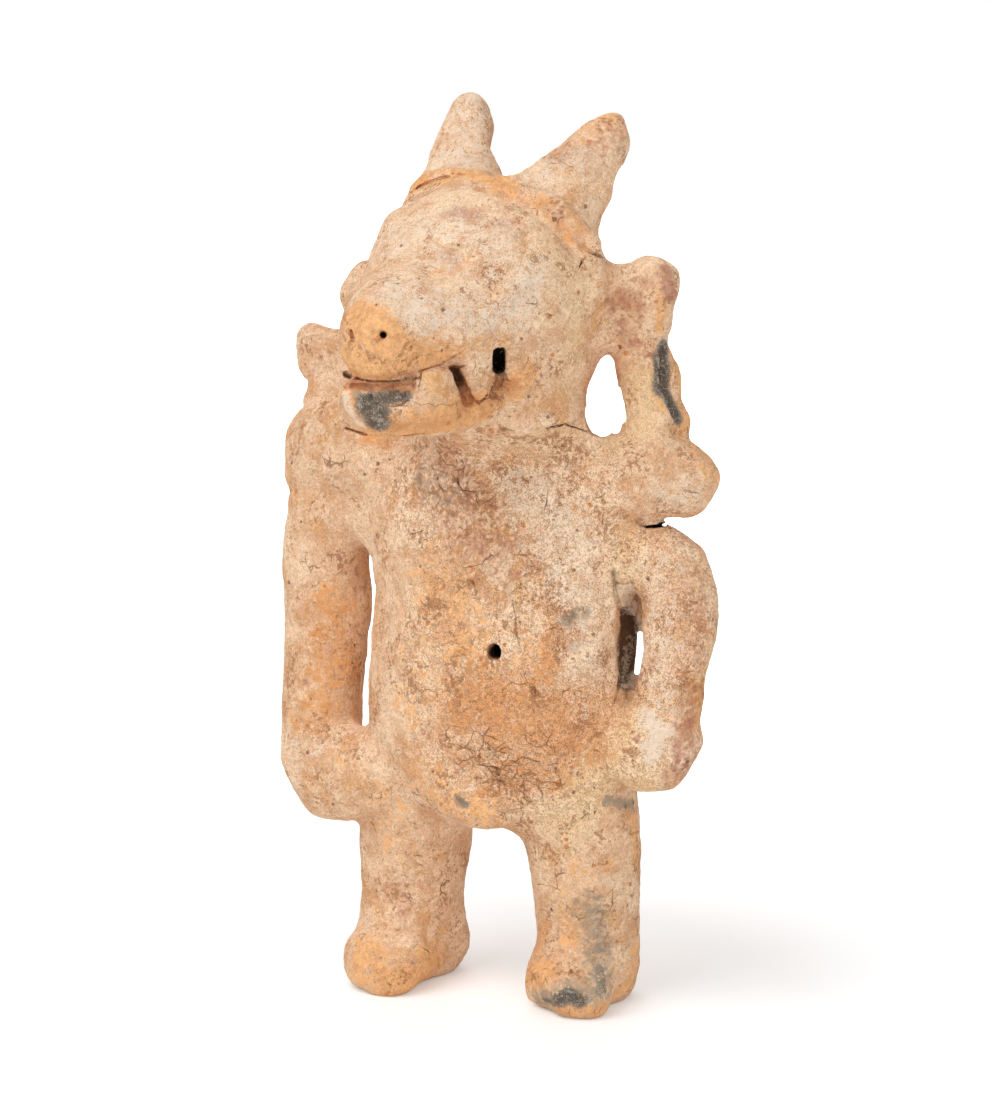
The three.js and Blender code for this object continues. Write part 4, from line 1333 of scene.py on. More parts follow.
class WeatheredClay:
    """Builds the material that all of the fired clay shares."""

    def __init__(
        self, name: str, finish: ClayFinish, pattern: ClayPattern, relief: ClayRelief
    ) -> None:
        """Lays out the noises that several colours follow.

        Args:
            name: The material's name.
            finish: Its colours.
            pattern: Its noises.
            relief: Its finest relief.
        """
        self.material = bpy.data.materials.new(name)
        self.finish = finish
        self.pattern = pattern
        self.relief = relief
        self.bench = bench = ClayBench(self.material, pattern)
        self.cloud = bench.noise(pattern.cloud)
        self.fleck = bench.noise(pattern.fleck)
        self.grit = bench.noise(pattern.grit)
        self.sand = bench.layer(Layer.SAND)
        crumbs = bench.bend(pattern.crumb_size, pattern.crumb_wobble)
        self.crumb = bench.cells(crumbs, pattern.crumb_size)[2]
        chalky = bench.plus(
            self.cloud,
            bench.times(bench.layer(Layer.SLIP), pattern.slip_in_plaques),
            bench.swing(self.crumb, pattern.crumb_in_plaques),
        )
        self.plaques = bench.step(chalky, finish.plaque_band)
        self.bare = self.cover(finish.bare, self.cloud, self.fleck)

    def build(self) -> bpy.types.Material:
        """Returns the material."""
        bench, finish = self.bench, self.finish
        colour = self.grained(self.worn(self.ground()))
        # the coats lay ash, grime with painted shade in the gaps, crust, and near-black painted
        # shade deep in holes and cracks
        for coat in finish.coats:
            colour = self.laid(colour, self.cover(coat, self.fleck, self.grit), coat)
        colour = self.burnt(colour)
        pits = bench.specks(finish.pits)
        colour = self.laid(colour, pits, finish.pits)
        for specks in (finish.dots, finish.crumbs):
            colour = self.laid(colour, bench.specks(specks), specks)
        lines, gaps = self.hairlines(), self.cracks()
        colour = bench.mix(bench.times(lines, finish.hair_cover), colour, LINE)
        colour = bench.mix(bench.times(gaps, finish.crack_cover), colour, LINE)
        shader = bench.add(
            "ShaderNodeBsdfPrincipled",
            {
                "Base Color": colour,
                "Roughness": bench.step(self.fleck, finish.roughness),
                "Normal": self.normals(pits, lines, gaps),
                "Specular IOR Level": finish.shine,
            },
        )
        bench.add("ShaderNodeOutputMaterial", {"Surface": shader.outputs["BSDF"]})
        return self.material

    def ground(self) -> Socket:
        """Returns the colour of the fired clay under its broken slip."""
        bench, finish, pattern = self.bench, self.finish, self.pattern
        patch = bench.noise(pattern.patch)
        colour = bench.mix(bench.step(patch, finish.ground_band), *finish.ground)
        colour = bench.mix(bench.step(patch, finish.amber_band), colour, finish.amber)
        rusty = bench.plus(
            bench.noise(pattern.blots),
            bench.swing(self.crumb, pattern.crumb_in_blots),
            bench.times(self.sand, pattern.sand_in_blots),
        )
        colour = bench.mix(bench.step(rusty, finish.rust_band), colour, RUST)
        slip = bench.times(self.plaques, bench.step(self.sand, finish.sanded_plaque))
        colour = bench.mix(slip, colour, finish.slip)
        colour = bench.mix(bench.step(self.cloud, finish.pink_band), colour, finish.pink)
        return bench.mix(bench.step(self.fleck, finish.umber_band), colour, UMBER)

    def worn(self, colour: Socket) -> Socket:
        """Lays bare clay, earth, rust, chips, stains and spots over a colour."""
        bench, finish, pattern = self.bench, self.finish, self.pattern
        clay_band = bench.step(self.fleck, finish.bare_band)
        clay = bench.mix(clay_band, finish.bare.tint, finish.bare_light)
        colour = bench.mix(bench.times(self.bare, finish.bare.cover), colour, clay)
        earth = bench.times(bench.layer(Layer.EARTH), finish.earth_cover)
        colour = bench.mix(earth, colour, finish.earth)
        rust = self.cover(finish.rust, self.cloud, self.fleck)
        colour = self.laid(colour, rust, finish.rust)
        chips = bench.plus(
            bench.noise(pattern.chips),
            bench.swing(bench.noise(pattern.clusters), pattern.clusters_in_chips),
            bench.times(self.sand, pattern.sand_in_chips),
        )
        colour = bench.mix(bench.step(chips, finish.chip_band), colour, UMBER)
        stain = self.cover(finish.stain, self.fleck, self.grit)
        colour = self.laid(colour, stain, finish.stain)
        return self.laid(colour, bench.specks(finish.spots), finish.spots)

    def grained(self, colour: Socket) -> Socket:
        """Lays the sandy grain over a colour, weaker where the clay is bare."""
        bench, finish, pattern = self.bench, self.finish, self.pattern
        grain = bench.plus(
            bench.swing(self.grit, pattern.grit_in_grain),
            bench.swing(self.crumb, pattern.crumb_in_grain),
            bench.swing(self.fleck, pattern.fleck_in_grain),
        )
        grain = bench.times(grain, bench.step(self.sand, finish.sanded_grain))
        grain = bench.times(grain, bench.step(self.bare, finish.bared_grain))
        tone = bench.mix(bench.step(grain, finish.grain_band), *finish.grain)
        return bench.mix(1.0, colour, tone, "MULTIPLY")

    def burnt(self, colour: Socket) -> Socket:
        """Lays the burns over a colour."""
        bench, finish, pattern = self.bench, self.finish, self.pattern
        char = self.cover(finish.char, self.fleck, self.grit)
        embers = bench.plus(
            bench.swing(self.fleck, pattern.fleck_in_embers),
            bench.swing(self.grit, pattern.grit_in_embers),
        )
        burn_band = bench.step(embers, finish.char_band)
        burn = bench.mix(burn_band, finish.char.tint, finish.char_light)
        return bench.mix(bench.times(char, finish.char.cover), colour, burn)

    def laid(self, colour: Socket, shape: Socket, paint: Coat | Specks) -> Socket:
        """Lays a tint over a colour.

        Args:
            colour: The colour underneath.
            shape: Where the tint lies, from 0 to 1.
            paint: The tint and how densely it covers.

        Returns:
            The colour with the tint on it.
        """
        return self.bench.mix(self.bench.times(shape, paint.cover), colour, paint.tint)

    def cover(self, coat: Coat, coarse: Socket, fine: Socket) -> Socket:
        """Returns a painted layer's cover with a broken, ragged edge.

        Args:
            coat: What the layer lays on the clay.
            coarse: A noise that breaks the edge up.
            fine: A finer noise that frays it.

        Returns:
            The cover, from 0 to 1.
        """
        bench, pattern = self.bench, self.pattern
        painted = bench.layer(coat.layer)
        torn = bench.plus(
            painted, bench.swing(coarse, coat.torn), bench.swing(fine, coat.torn * pattern.frayed)
        )
        within = bench.times(torn, bench.step(painted, pattern.paint_edge))
        return bench.step(within, pattern.cover_edge)

    def hairlines(self) -> Socket:
        """Returns the cover of the fine cracks: nets where the clay crazed, else short ones."""
        bench, finish, pattern = self.bench, self.finish, self.pattern
        crazed = bench.layer(Layer.CRAZE)
        broken = bench.plus(crazed, bench.swing(self.cloud, pattern.cloud_in_craze))
        net = bench.times(bench.net(finish.craze), bench.step(broken, finish.craze_band))
        places = bench.plus(
            bench.noise(pattern.hair_places), bench.swing(crazed, pattern.craze_in_hairs)
        )
        hairs = bench.times(bench.net(finish.hairs), bench.step(places, finish.hair_band))
        return bench.math("MAXIMUM", net, hairs)

    def cracks(self) -> Socket:
        """Returns the cover of the open cracks, drawn thin and uneven."""
        bench, pattern = self.bench, self.pattern
        wander = bench.swing(bench.noise(pattern.wander), pattern.wander_in_cracks)
        aside = bench.plus(bench.layer(Layer.CRACK), wander)
        return bench.step(bench.math("ABSOLUTE", aside, 0.0), self.finish.crack_band)

    def normals(self, pits: Socket, lines: Socket, gaps: Socket) -> Socket:
        """Returns the normals of the finest relief.

        Args:
            pits: The cover of the pits.
            lines: The cover of the fine cracks.
            gaps: The cover of the open cracks.

        Returns:
            The bent normals.
        """
        bench, relief = self.bench, self.relief
        shares = (
            (self.grit, relief.grit),
            (self.cloud, relief.cloud),
            (self.crumb, relief.crumb),
            (self.plaques, relief.plaques),
            (pits, relief.pits),
            (lines, relief.lines),
            (gaps, relief.cracks),
        )
        height = bench.plus(*(bench.times(value, share) for value, share in shares))
        inputs = {"Strength": relief.strength, "Distance": relief.depth * MM, "Height": height}
        return bench.add("ShaderNodeBump", inputs).outputs["Normal"]


class Painter:
    """Lays the marks and cracks of the figure on its pieces."""

    def __init__(self, hands: Sculptor, assemblies: Iterable[SubAssembly]) -> None:
        """Finds where each mark and crack lies on the skin."""
        self.marks: list[tuple[Mark, list[Vector]]] = []
        self.cracks: list[tuple[Crack, list[Vector], list[Vector]]] = []
        for assembly in assemblies:
            for mark in assembly.marks:
                spots = [self.find(hands, spot) for spot in mark.path]
                if mark.depth:
                    inward = CAMERA.ray(*mark.path[0]) * mark.depth * MM
                    spots = [spot + inward * share for share in HOLE_SHARES for spot in spots]
                self.marks.append((mark, spots))
            for crack in assembly.cracks:
                spots = [self.find(hands, spot) for spot in crack.path]
                normals = [hands.tree.find_nearest(spot)[1] for spot in spots]
                self.cracks.append((crack, spots, normals))

    def find(self, hands: Sculptor, spot: Pixel | Spot) -> Vector:
        """Returns a place on the skin from a pixel, or from a place in mm."""
        if len(spot) == 2:
            return hands.under(*spot)
        return hands.tree.find_nearest(place(*spot))[0]

    def paint(self, piece: Piece) -> None:
        """Writes the layers and the cracks to a piece as attributes."""
        points = rows(piece.data.vertices)
        layers = {layer: np.zeros(len(points)) for layer in Layer}
        for mark, spots in self.marks:
            line = spots if len(spots) > 1 else spots * 2
            gap = distance_to_line(points, line) / (mark.reach * MM)
            cover = mark.strength * hump(gap, PAINT_POWER)
            layers[mark.layer] = np.maximum(layers[mark.layer], cover)
        layers[Layer.CRACK] = self.crack_offsets(points)
        for layer, values in layers.items():
            attribute = piece.data.attributes.new(layer.value, "FLOAT", "POINT")
            attribute.data.foreach_set("value", values.astype(np.float32))

    def crack_offsets(self, points: np.ndarray) -> np.ndarray:
        """Returns each point's offset aside from the nearest crack, in crack widths."""
        nearest = np.full(len(points), CRACK_REACH * MM)
        offsets = np.full(len(points), CRACK_REACH)
        for crack, spots, normals in self.cracks:
            for start, end, normal in zip(spots, spots[1:], normals):
                run, share, away = off_stretch(points, start, end)
                side = np.cross(run, np.array(normal))
                side /= max(np.linalg.norm(side), LEAST_LENGTH)
                gap = np.linalg.norm(away, axis=1)
                closer = gap < nearest
                nearest[closer] = gap[closer]
                lateral = away @ side
                beyond = (share < 0.0) | (share > 1.0)
                value = np.where(beyond, np.copysign(gap, lateral), lateral)
                offsets[closer] = value[closer] / (crack.width * MM)
        return offsets


# The figure


@dataclass
class Figure:
    """The whole figure: formed in one skin, opened and parted. Its sizes are in millimetres."""

    trunk: Trunk
    head: Head
    jaws: Jaws
    shoulders: Shoulders
    arms: Arms
    legs: Legs
    neck_creases: float = 4.2
    neck_strokes: int = 3
    whole_strokes: int = 2
    joint_strokes: int = 30
    last_strokes: int = 3
    grains: tuple[Grain, ...] = (
        Grain("broad", 9.0, 0.55),
        Grain("knuckles", 4.0, 0.4),
        Grain("pitting", 1.7, 0.28),
    )
    block_side: float = 90.0
    block_top: float = 300.0
    block_foot: float = -50.0
    head_start: float = -0.5
    neck_start: float = 3.0

    def assemblies(self) -> tuple[SubAssembly, ...]:
        """Returns the sub-assemblies in building order."""
        return self.trunk, self.head, self.jaws, self.shoulders, self.arms, self.legs

    def parts(self) -> list[Part]:
        """Returns all the parts."""
        return [part for assembly in self.assemblies() for part in assembly.parts]

    def form(self) -> Piece:
        """Lutes the rough forms together and works them over."""
        head = self.head.rough(self.jaws.muzzle())
        trunk = self.trunk.rough([*self.legs.rough(), *self.shoulders.lobes()])
        upper = [trunk, head, self.trunk.neck_fill()]
        body = knead("body", upper, self.neck_creases, self.neck_strokes)
        added = [self.shoulders.struts(), self.arms.rough(), self.jaws.jaw(), self.jaws.fangs()]
        figure = knead("figure", [body, *added], strokes=self.whole_strokes)
        hands = Sculptor(figure)
        joints = [joint for assembly in self.assemblies() for joint in assembly.joints]
        hands.soften(joints, self.joint_strokes)
        for assembly in self.assemblies():
            for pull in assembly.pulls:
                hands.pull(pull)
        hands.write()
        for assembly in self.assemblies():
            for dab in assembly.dabs:
                hands.press(dab)
            for furrow in assembly.furrows:
                hands.groove(furrow)
        hands.stand_on_floor()
        hands.write()
        even_out(figure, FINE_VOXEL)
        stroke_smooth(figure, self.last_strokes)
        return figure

    def roughen(self, figure: Piece) -> None:
        """Gives the skin the small lumps and hollows of hand-pressed, weathered clay."""
        for grain in self.grains:
            crumble(figure, grain)

    def open_up(self, figure: Piece, hands: Sculptor) -> None:
        """Cuts the openings and the hollows into the figure."""
        openings = [hole for assembly in self.assemblies() for hole in assembly.openings]
        clefts = [cleft for assembly in self.assemblies() for cleft in assembly.clefts]
        forms = [opening_form(opening, hands) for opening in openings]
        forms.append(cleft_form(clefts, hands))
        forms += SoundingParts().cutters()
        for form in forms[1:]:
            cut(forms[0], form, "UNION")
        cut(figure, forms[0])
        drop(*forms)

    def block(self, name: str, start: float, back: float | None = None) -> Piece:
        """Returns a block to cut with that holds the figure's upper part or its back.

        Args:
            name: The block's name.
            start: How high the block starts.
            back: How far back it starts, or None where it holds the whole depth.

        Returns:
            The block.
        """
        side = self.block_side
        low = (-side, -side if back is None else back, start)
        return cut_block(name, low, (side, side, self.block_top))

    def part(self, clay: Piece) -> dict[str, Piece]:
        """Parts the figure into one piece for each solid.

        Args:
            clay: The opened figure, which is used up.

        Returns:
            The pieces by the names of their nodes.
        """
        reach = {part.node: part.reach for part in self.parts()}
        pieces: dict[str, Piece] = {}

        def take(block: Piece, nodes: Iterable[str]) -> None:
            """Parts these nodes' pieces from a block, one after the other."""
            for node in nodes:
                pieces[node] = part_off(block, cut_form([node], reach[node]), node)

        def split(nodes: list[str], base: str) -> None:
            """Parts these nodes' block from the clay and then the base from the others."""
            block = part_off(clay, cut_form(nodes, reach[base]), "block")
            take(block, [node for node in nodes if node != base])
            pieces[base] = block

        struts, lobes = self.shoulders.strut_nodes(), self.shoulders.lobe_nodes()
        split(struts, struts[0])
        split([*self.jaws.fang_nodes(), "lower_jaw"], "lower_jaw")
        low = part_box("head_shell")[0] / MM
        top = part_off(clay, self.block("head_block", low.z + self.head_start), "head")
        take(top, ("horn_left", "horn_right", "ear_plate_left", "ear_plate_right"))
        take(top, ("crown_band", "upper_jaw"))
        pieces["head_shell"] = top
        take(clay, ["mouthpiece"])
        for nodes in (lobes, self.arms.nodes(), self.legs.nodes()):
            split(nodes, nodes[0])
        take(clay, ["groin_lump"])
        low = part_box("neck_collar")[0] / MM
        neck = self.block("neck_block", low.z + self.neck_start)
        pieces["neck_collar"] = part_off(clay, neck, "neck_collar")
        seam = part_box("torso_back_shell")[0].y / MM
        back = self.block("back_block", self.block_foot, seam)
        pieces["torso_back_shell"] = part_off(clay, back, "torso_back_shell")
        pieces["torso_front_shell"] = clay
        return pieces


def shade_smooth(piece: Piece) -> None:
    """Shades a piece smooth, apart from its sharp edges."""
    pick(piece)
    bpy.ops.object.shade_smooth_by_angle(angle=math.radians(SHARP_ANGLE))


def wear_normals(piece: Piece, skin: Sculptor, tree: KDTree) -> None:
    """Gives a piece's seams the whole figure's normals, so that no seam shows.

    Args:
        piece: The parted piece.
        skin: The whole figure's skin before it was parted.
        tree: The skin's points.
    """
    shade_smooth(piece)
    found = []
    for vertex in piece.data.vertices:
        _, index, gap = tree.find(vertex.co)
        seam = SAME_POINT * MM < gap < SEAM_REACH * MM
        found.append(skin.normals[index] if seam else ORIGIN)
    piece.data.normals_split_custom_set_from_vertices(found)


def point_tree(hands: Sculptor) -> KDTree:
    """Returns a search tree of the skin's points."""
    tree = KDTree(len(hands.points))
    for index, point in enumerate(hands.points):
        tree.insert(point, index)
    tree.balance()
    return tree


TRUNK_PARTS = (
    Part("torso_front_shell", Slot.BUFF_SLIP, 0.0),
    Part("torso_back_shell", Slot.BUFF_SLIP, 0.0),
    Part("mouthpiece", Slot.BUFF_SLIP, 1.8),
    Part("groin_lump", Slot.BARE_CLAY, 1.2),
    Part("neck_collar", Slot.BUFF_SLIP, 0.0),
)

TRUNK_JOINTS = (
    Dab("neck front", (480, 440), 13),
    Dab("neck side", (550, 430), 11),
    Dab("neck and chest", (500, 448), 12),
    Dab("neck and lobe", (590, 455), 10),
)

TRUNK_FURROWS = (
    Furrow("fold under the neck", ((470, 432), (510, 440), (560, 436)), 3.5, 0.5),
    Furrow("breast swelling", ((450, 500), (455, 530)), 12, -0.6),
    Furrow("torso edge", ((612, 600), (613, 650), (614, 700)), 3.0, -0.7),
    Furrow("groin fold", ((425, 815), (455, 822), (480, 820)), 4.0, 0.5),
    Furrow("flake beside the hole", ((535, 675), (548, 690), (546, 700)), 3.0, -0.35),
)

TRUNK_CLEFTS = (
    Cleft("neck crack", ((548, 427, 0.12, 0.5), (566, 424, 0.3, 1.0), (588, 432, 0.2, 0.8))),
    Cleft("neck crack end", ((553, 447, 0.2, 0.5), (564, 446, 0.25, 0.6))),
    Cleft("chest crack", ((458, 479, 0.3, 0.8), (459, 488, 0.25, 0.7), (468, 494, 0.4, 0.7))),
    Cleft("breast crack", ((433, 468, 0.15, 0.5), (447, 473, 0.25, 0.6))),
    Cleft("breast pit", ((420, 489, 0.4, 0.5), (421, 490, 0.4, 0.5))),
    Cleft("chest pit", ((547, 501, 0.25, 0.5), (546, 506, 0.25, 0.5))),
    Cleft("hole crack", ((515, 618, 0.15, 0.5), (515, 632, 0.25, 0.6), (518, 645, 0.12, 0.4))),
    Cleft("belly hollow", ((531, 685, 0.6, 0.5), (534, 690, 0.5, 0.6), (540, 697, 0.3, 0.4))),
    Cleft("belly crack left", ((478, 762, 0.15, 0.4), (497, 768, 0.3, 0.6), (499, 775, 0.2, 0.5))),
    Cleft("belly crack low", ((475, 778, 0.2, 0.5), (490, 779, 0.15, 0.4), (505, 782, 0.3, 0.6))),
    Cleft("belly crack right", ((522, 757, 0.3, 0.5), (538, 762, 0.25, 0.5))),
    Cleft("armpit line", ((613, 572, 0.3, 0.5), (615, 590, 0.4, 0.8), (619, 606, 0.7, 2.0))),
    Cleft(
        "armpit",
        ((624, 612, 1.3, 3.0), (629, 625, 2.5, 5.5), (629, 650, 2.7, 6.5), (624, 678, 1.4, 4.5)),
    ),
    Cleft("armpit slit", ((640, 634, 0.75, 60.0), (640, 650, 1.0, 60.0), (637, 672, 0.8, 60.0))),
    Cleft("hip crack", ((620, 680, 0.7, 3.0), (617, 692, 0.4, 1.5), (614, 702, 0.2, 0.8))),
)

TRUNK_OPENINGS = (Opening("finger hole", (494, 652), 3.6, 3.9, 16.0, BACKWARDS),)

TRUNK_MARKS = (
    Mark("chest sand", Layer.SAND, ((440, 500), (560, 500), (560, 600), (450, 640)), 22, 1.1),
    Mark("belly sand", Layer.SAND, ((450, 680), (570, 690), (560, 760), (470, 760)), 22, 1.1),
    Mark("back sand", Layer.SAND, ((-10, 36, 80), (12, 36, 110)), 26, 0.9),
    Mark("belly", Layer.BARE, ((480, 705), (515, 728), (550, 738), (585, 728)), 16, 0.4),
    Mark("belly rust", Layer.RUST, ((475, 705), (520, 724), (560, 730), (585, 718)), 16, 0.85),
    Mark("belly rust low", Layer.RUST, ((460, 760), (505, 772), (550, 768)), 10, 0.55),
    Mark("belly rust spots", Layer.RUST, ((531, 686), (545, 676), (562, 640)), 4, 0.8),
    Mark("groin rust", Layer.RUST, ((430, 740), (425, 775)), 9, 0.4),
    Mark("belly upper", Layer.BARE, ((500, 690), (540, 665)), 9, 0.45),
    Mark("right of the hole", Layer.RUST, ((557, 630), (548, 642)), 3, 0.9),
    Mark("left belly", Layer.BARE, ((450, 600), (470, 665), (455, 700)), 13, 0.5),
    Mark("left flank", Layer.BARE, ((415, 640), (410, 730)), 10, 0.25),
    Mark("chest amber", Layer.BARE, ((430, 575), (455, 560), (440, 615)), 10, 0.5),
    Mark("groin", Layer.BARE, ((420, 775), (445, 805), (485, 812)), 9, 0.6),
    Mark("hip amber", Layer.BARE, ((592, 715), (598, 745), (560, 790)), 6, 0.55),
    Mark("chest right", Layer.CRUST, ((552, 500), (560, 560), (585, 610), (598, 690)), 14, 0.3),
    Mark("torso edge", Layer.CRUST, ((605, 590), (606, 690)), 6, 0.3),
    Mark("chest middle", Layer.CRUST, ((520, 490), (560, 530)), 9, 0.4),
    Mark("chest rust", Layer.STAIN, ((440, 470), (470, 530), (500, 560)), 13, 0.34),
    Mark("chest left pale", Layer.SLIP, ((400, 480), (420, 530)), 14, 0.8),
    Mark("chest side pale", Layer.SLIP, ((590, 560), (592, 680)), 11, 0.9),
    Mark("lower belly", Layer.CRAZE, ((470, 760), (520, 768), (545, 760)), 11, 0.8),
    Mark("belly right", Layer.CRAZE, ((545, 690), (575, 700)), 8, 0.55),
    Mark("chest cracks", Layer.CRAZE, ((430, 480), (500, 540)), 16, 0.42),
    Mark("breast shade", Layer.ASH, ((425, 480), (450, 495)), 7, 0.3),
    Mark("groin spot", Layer.CHAR, ((458, 799), (465, 804)), 1.8, 0.75),
    Mark("chest spot", Layer.CHAR, ((570, 618), (581, 611)), 2.8, 0.62),
    Mark("chest spot low", Layer.ASH, ((575, 645),), 2.8, 0.5),
    # painted shadow along the armpit's edge, laid with the ash layer
    Mark("armpit line", Layer.ASH, ((613, 572), (616, 598)), 1.2, 0.9),
    # grime and painted shade down the armpit gap
    Mark("armpit", Layer.GRIME, ((624, 614), (630, 625), (630, 655), (624, 683)), 3.6, 1.2, 10),
    Mark("armpit specks", Layer.CRUST, ((626, 657), (631, 640), (622, 680)), 1.8, 0.55, 6),
    Mark("armpit edge", Layer.CRUST, ((637, 616), (639, 632)), 1.2, 0.9, 5),
    Mark("armpit rust", Layer.RUST, ((618, 612), (628, 618), (621, 640)), 2.2, 1.1, 4),
    Mark("below the armpit", Layer.CRUST, ((636, 676), (632, 684)), 1.6, 0.8),
    # painted shade: near black down the finger hole's walls
    Mark("finger hole soot", Layer.SOOT, ((494, 652),), 2.1, 1.3, 8),
    Mark("hip", Layer.EARTH, ((622, 710), (608, 760), (585, 800)), 9, 0.75),
    Mark("neck earth", Layer.EARTH, ((485, 445), (560, 440)), 8, 0.35),
    Mark("back earth", Layer.EARTH, ((10, 35, 70), (-8, 35, 60)), 14, 0.5),
    Mark("back bare", Layer.BARE, ((-20, 33, 90), (-12, 35, 110)), 14, 0.5),
    Mark("back crust", Layer.CRUST, ((26, 30, 110), (20, 33, 85)), 14, 0.4),
    Mark("back craze", Layer.CRAZE, ((5, 36, 75),), 12, 0.6),
)

TRUNK_CRACKS = (
    Crack("neck crack", ((548, 428), (566, 425), (588, 432)), 0.45),
    Crack("chest crack", ((452, 474), (462, 490), (476, 492)), 0.35),
    Crack("breast crack", ((438, 452), (446, 464), (455, 466)), 0.3),
    Crack("chest side crack", ((547, 497), (545, 508)), 0.3),
    Crack("belly crack", ((513, 604), (516, 618), (516, 632), (519, 644)), 0.3),
    Crack("low crack", ((476, 764), (497, 768), (500, 777)), 0.3),
    Crack("low crack right", ((512, 764), (522, 757), (538, 762)), 0.3),
)


def make_trunk() -> Trunk:
    """Returns the trunk with its notes."""
    return Trunk(
        parts=TRUNK_PARTS,
        joints=TRUNK_JOINTS,
        furrows=TRUNK_FURROWS,
        clefts=TRUNK_CLEFTS,
        openings=TRUNK_OPENINGS,
        marks=TRUNK_MARKS,
        cracks=TRUNK_CRACKS,
    )


HEAD_PARTS = (
    Part("head_shell", Slot.BUFF_SLIP, 0.0),
    Part("crown_band", Slot.PALE_CRUST, 1.5),
    Part("horn_left", Slot.PALE_CRUST, 2.0),
    Part("horn_right", Slot.PALE_CRUST, 2.0),
    Part("ear_plate_left", Slot.BUFF_SLIP, 2.0),
    Part("ear_plate_right", Slot.BUFF_SLIP, 2.0),
)

HEAD_PULLS = (
    Pull("crown left shoulder", (412, 192), (402, 189), 9),
    Pull("dome left edge", (396, 213), (391, 210), 8),
    Pull("dome left edge high", (376, 225), (373, 224), 9),
    Pull("far horn left edge", (436, 140), (433, 139), 8),
    Pull("far horn left base", (428, 165), (424, 164), 8),
    Pull("far horn right base", (500, 150), (491, 151), 7),
    Pull("crown between the horns", (505, 168), (505, 180), 7),
    Pull("near horn inner edge", (545, 165), (541, 160), 8),
    Pull("near horn outer edge", (618, 145), (627, 147), 10),
    Pull("near horn tip", (605, 112), (614, 111), 7),
    Pull("near horn outer base", (606, 190), (612, 191), 7),
    Pull("near plate upper edge", (616, 256), (616, 268), 8),
    Pull("near plate root notch", (608, 260), (607, 265), 6),
    Pull("near plate outer corner", (672, 275), (678, 274), 6),
    Pull("near plate outer edge", (666, 300), (672, 300), 7),
    Pull("far plate edge", (350, 300), (346, 301), 7),
    Pull("far plate corner", (344, 268), (350, 268), 6),
)

HEAD_JOINTS = (
    Dab("near plate root", (592, 310), 10),
    Dab("near plate root high", (598, 275), 8),
    Dab("muzzle top", (425, 276), 15),
    Dab("muzzle side", (500, 300), 14),
    Dab("cheek and neck", (548, 398), 13),
)

HEAD_DABS = (
    Dab("eye dimple", (452, 262), 9, 1.3),
    Dab("brow", (440, 232), 9, -0.5),
    Dab("cheek over the upper fang", (500, 338), 8, -1.5),
    Dab("cheek beside the mouth", (520, 372), 7, -1.3),
    Dab("crown lump", (425, 177), 3.5, -0.7),
    Dab("crown lump middle", (447, 171), 4.0, -0.9),
    Dab("crown lump right", (470, 176), 3.5, -0.4),
)

HEAD_FURROWS = (
    Furrow("crown valley", ((480, 188), (520, 201), (545, 217), (565, 234), (583, 252)), 4.4, 2.0),
    Furrow("crown strap", ((500, 182), (520, 188), (555, 205), (580, 228), (594, 244)), 5.6, -1.7),
    Furrow("crown lip", ((412, 188), (422, 179), (440, 173), (455, 170), (468, 174)), 2.2, -0.8),
    Furrow("horn foot line", ((556, 190), (575, 203), (593, 222)), 3.6, 0.6),
    Furrow("brow swelling", ((430, 200), (480, 200), (520, 218), (548, 245)), 9.0, -0.7),
    Furrow("plate root fold", ((592, 268), (588, 300), (590, 345)), 5.0, 0.7),
    Furrow("cheek ridge", ((485, 318), (510, 300), (522, 280)), 7.0, -0.6),
    Furrow("eye ring", ((425, 258), (432, 284), (456, 300), (488, 297)), 6.0, 0.55),
    Furrow("eye ring ridge", ((418, 290), (450, 312), (492, 310), (512, 290)), 6.0, -0.45),
    Furrow("muzzle fold", ((398, 322), (425, 330), (470, 335)), 3.0, 0.35),
)

HEAD_CLEFTS = (
    Cleft(
        "crown seam",
        ((406, 196, 0.2, 0.6), (422, 185, 0.45, 1.3), (437, 179, 0.4, 1.2), (448, 177, 0.5, 1.2)),
    ),
    Cleft("crown seam middle", ((453, 174, 0.35, 0.8), (464, 175, 0.3, 0.7))),
    Cleft("crown notch", ((478, 181, 0.2, 0.5), (489, 181, 0.3, 0.7))),
    Cleft("crown hollow", ((527, 186, 0.5, 0.6), (532, 189, 0.6, 0.7), (540, 190, 0.3, 0.4))),
    Cleft("crown end hollow", ((582, 247, 0.9, 0.8), (588, 254, 1.0, 1.2), (591, 253, 0.7, 1.0))),
    Cleft("crown end crack", ((592, 253, 0.3, 1.0), (598, 255, 0.45, 1.6), (603, 258, 0.2, 1.0))),
    Cleft("temple crack", ((579, 268, 0.15, 0.5), (582, 260, 0.3, 0.9), (588, 257, 0.3, 0.9))),
    Cleft("temple pit", ((574, 279, 0.4, 0.5), (575, 282, 0.4, 0.5))),
)

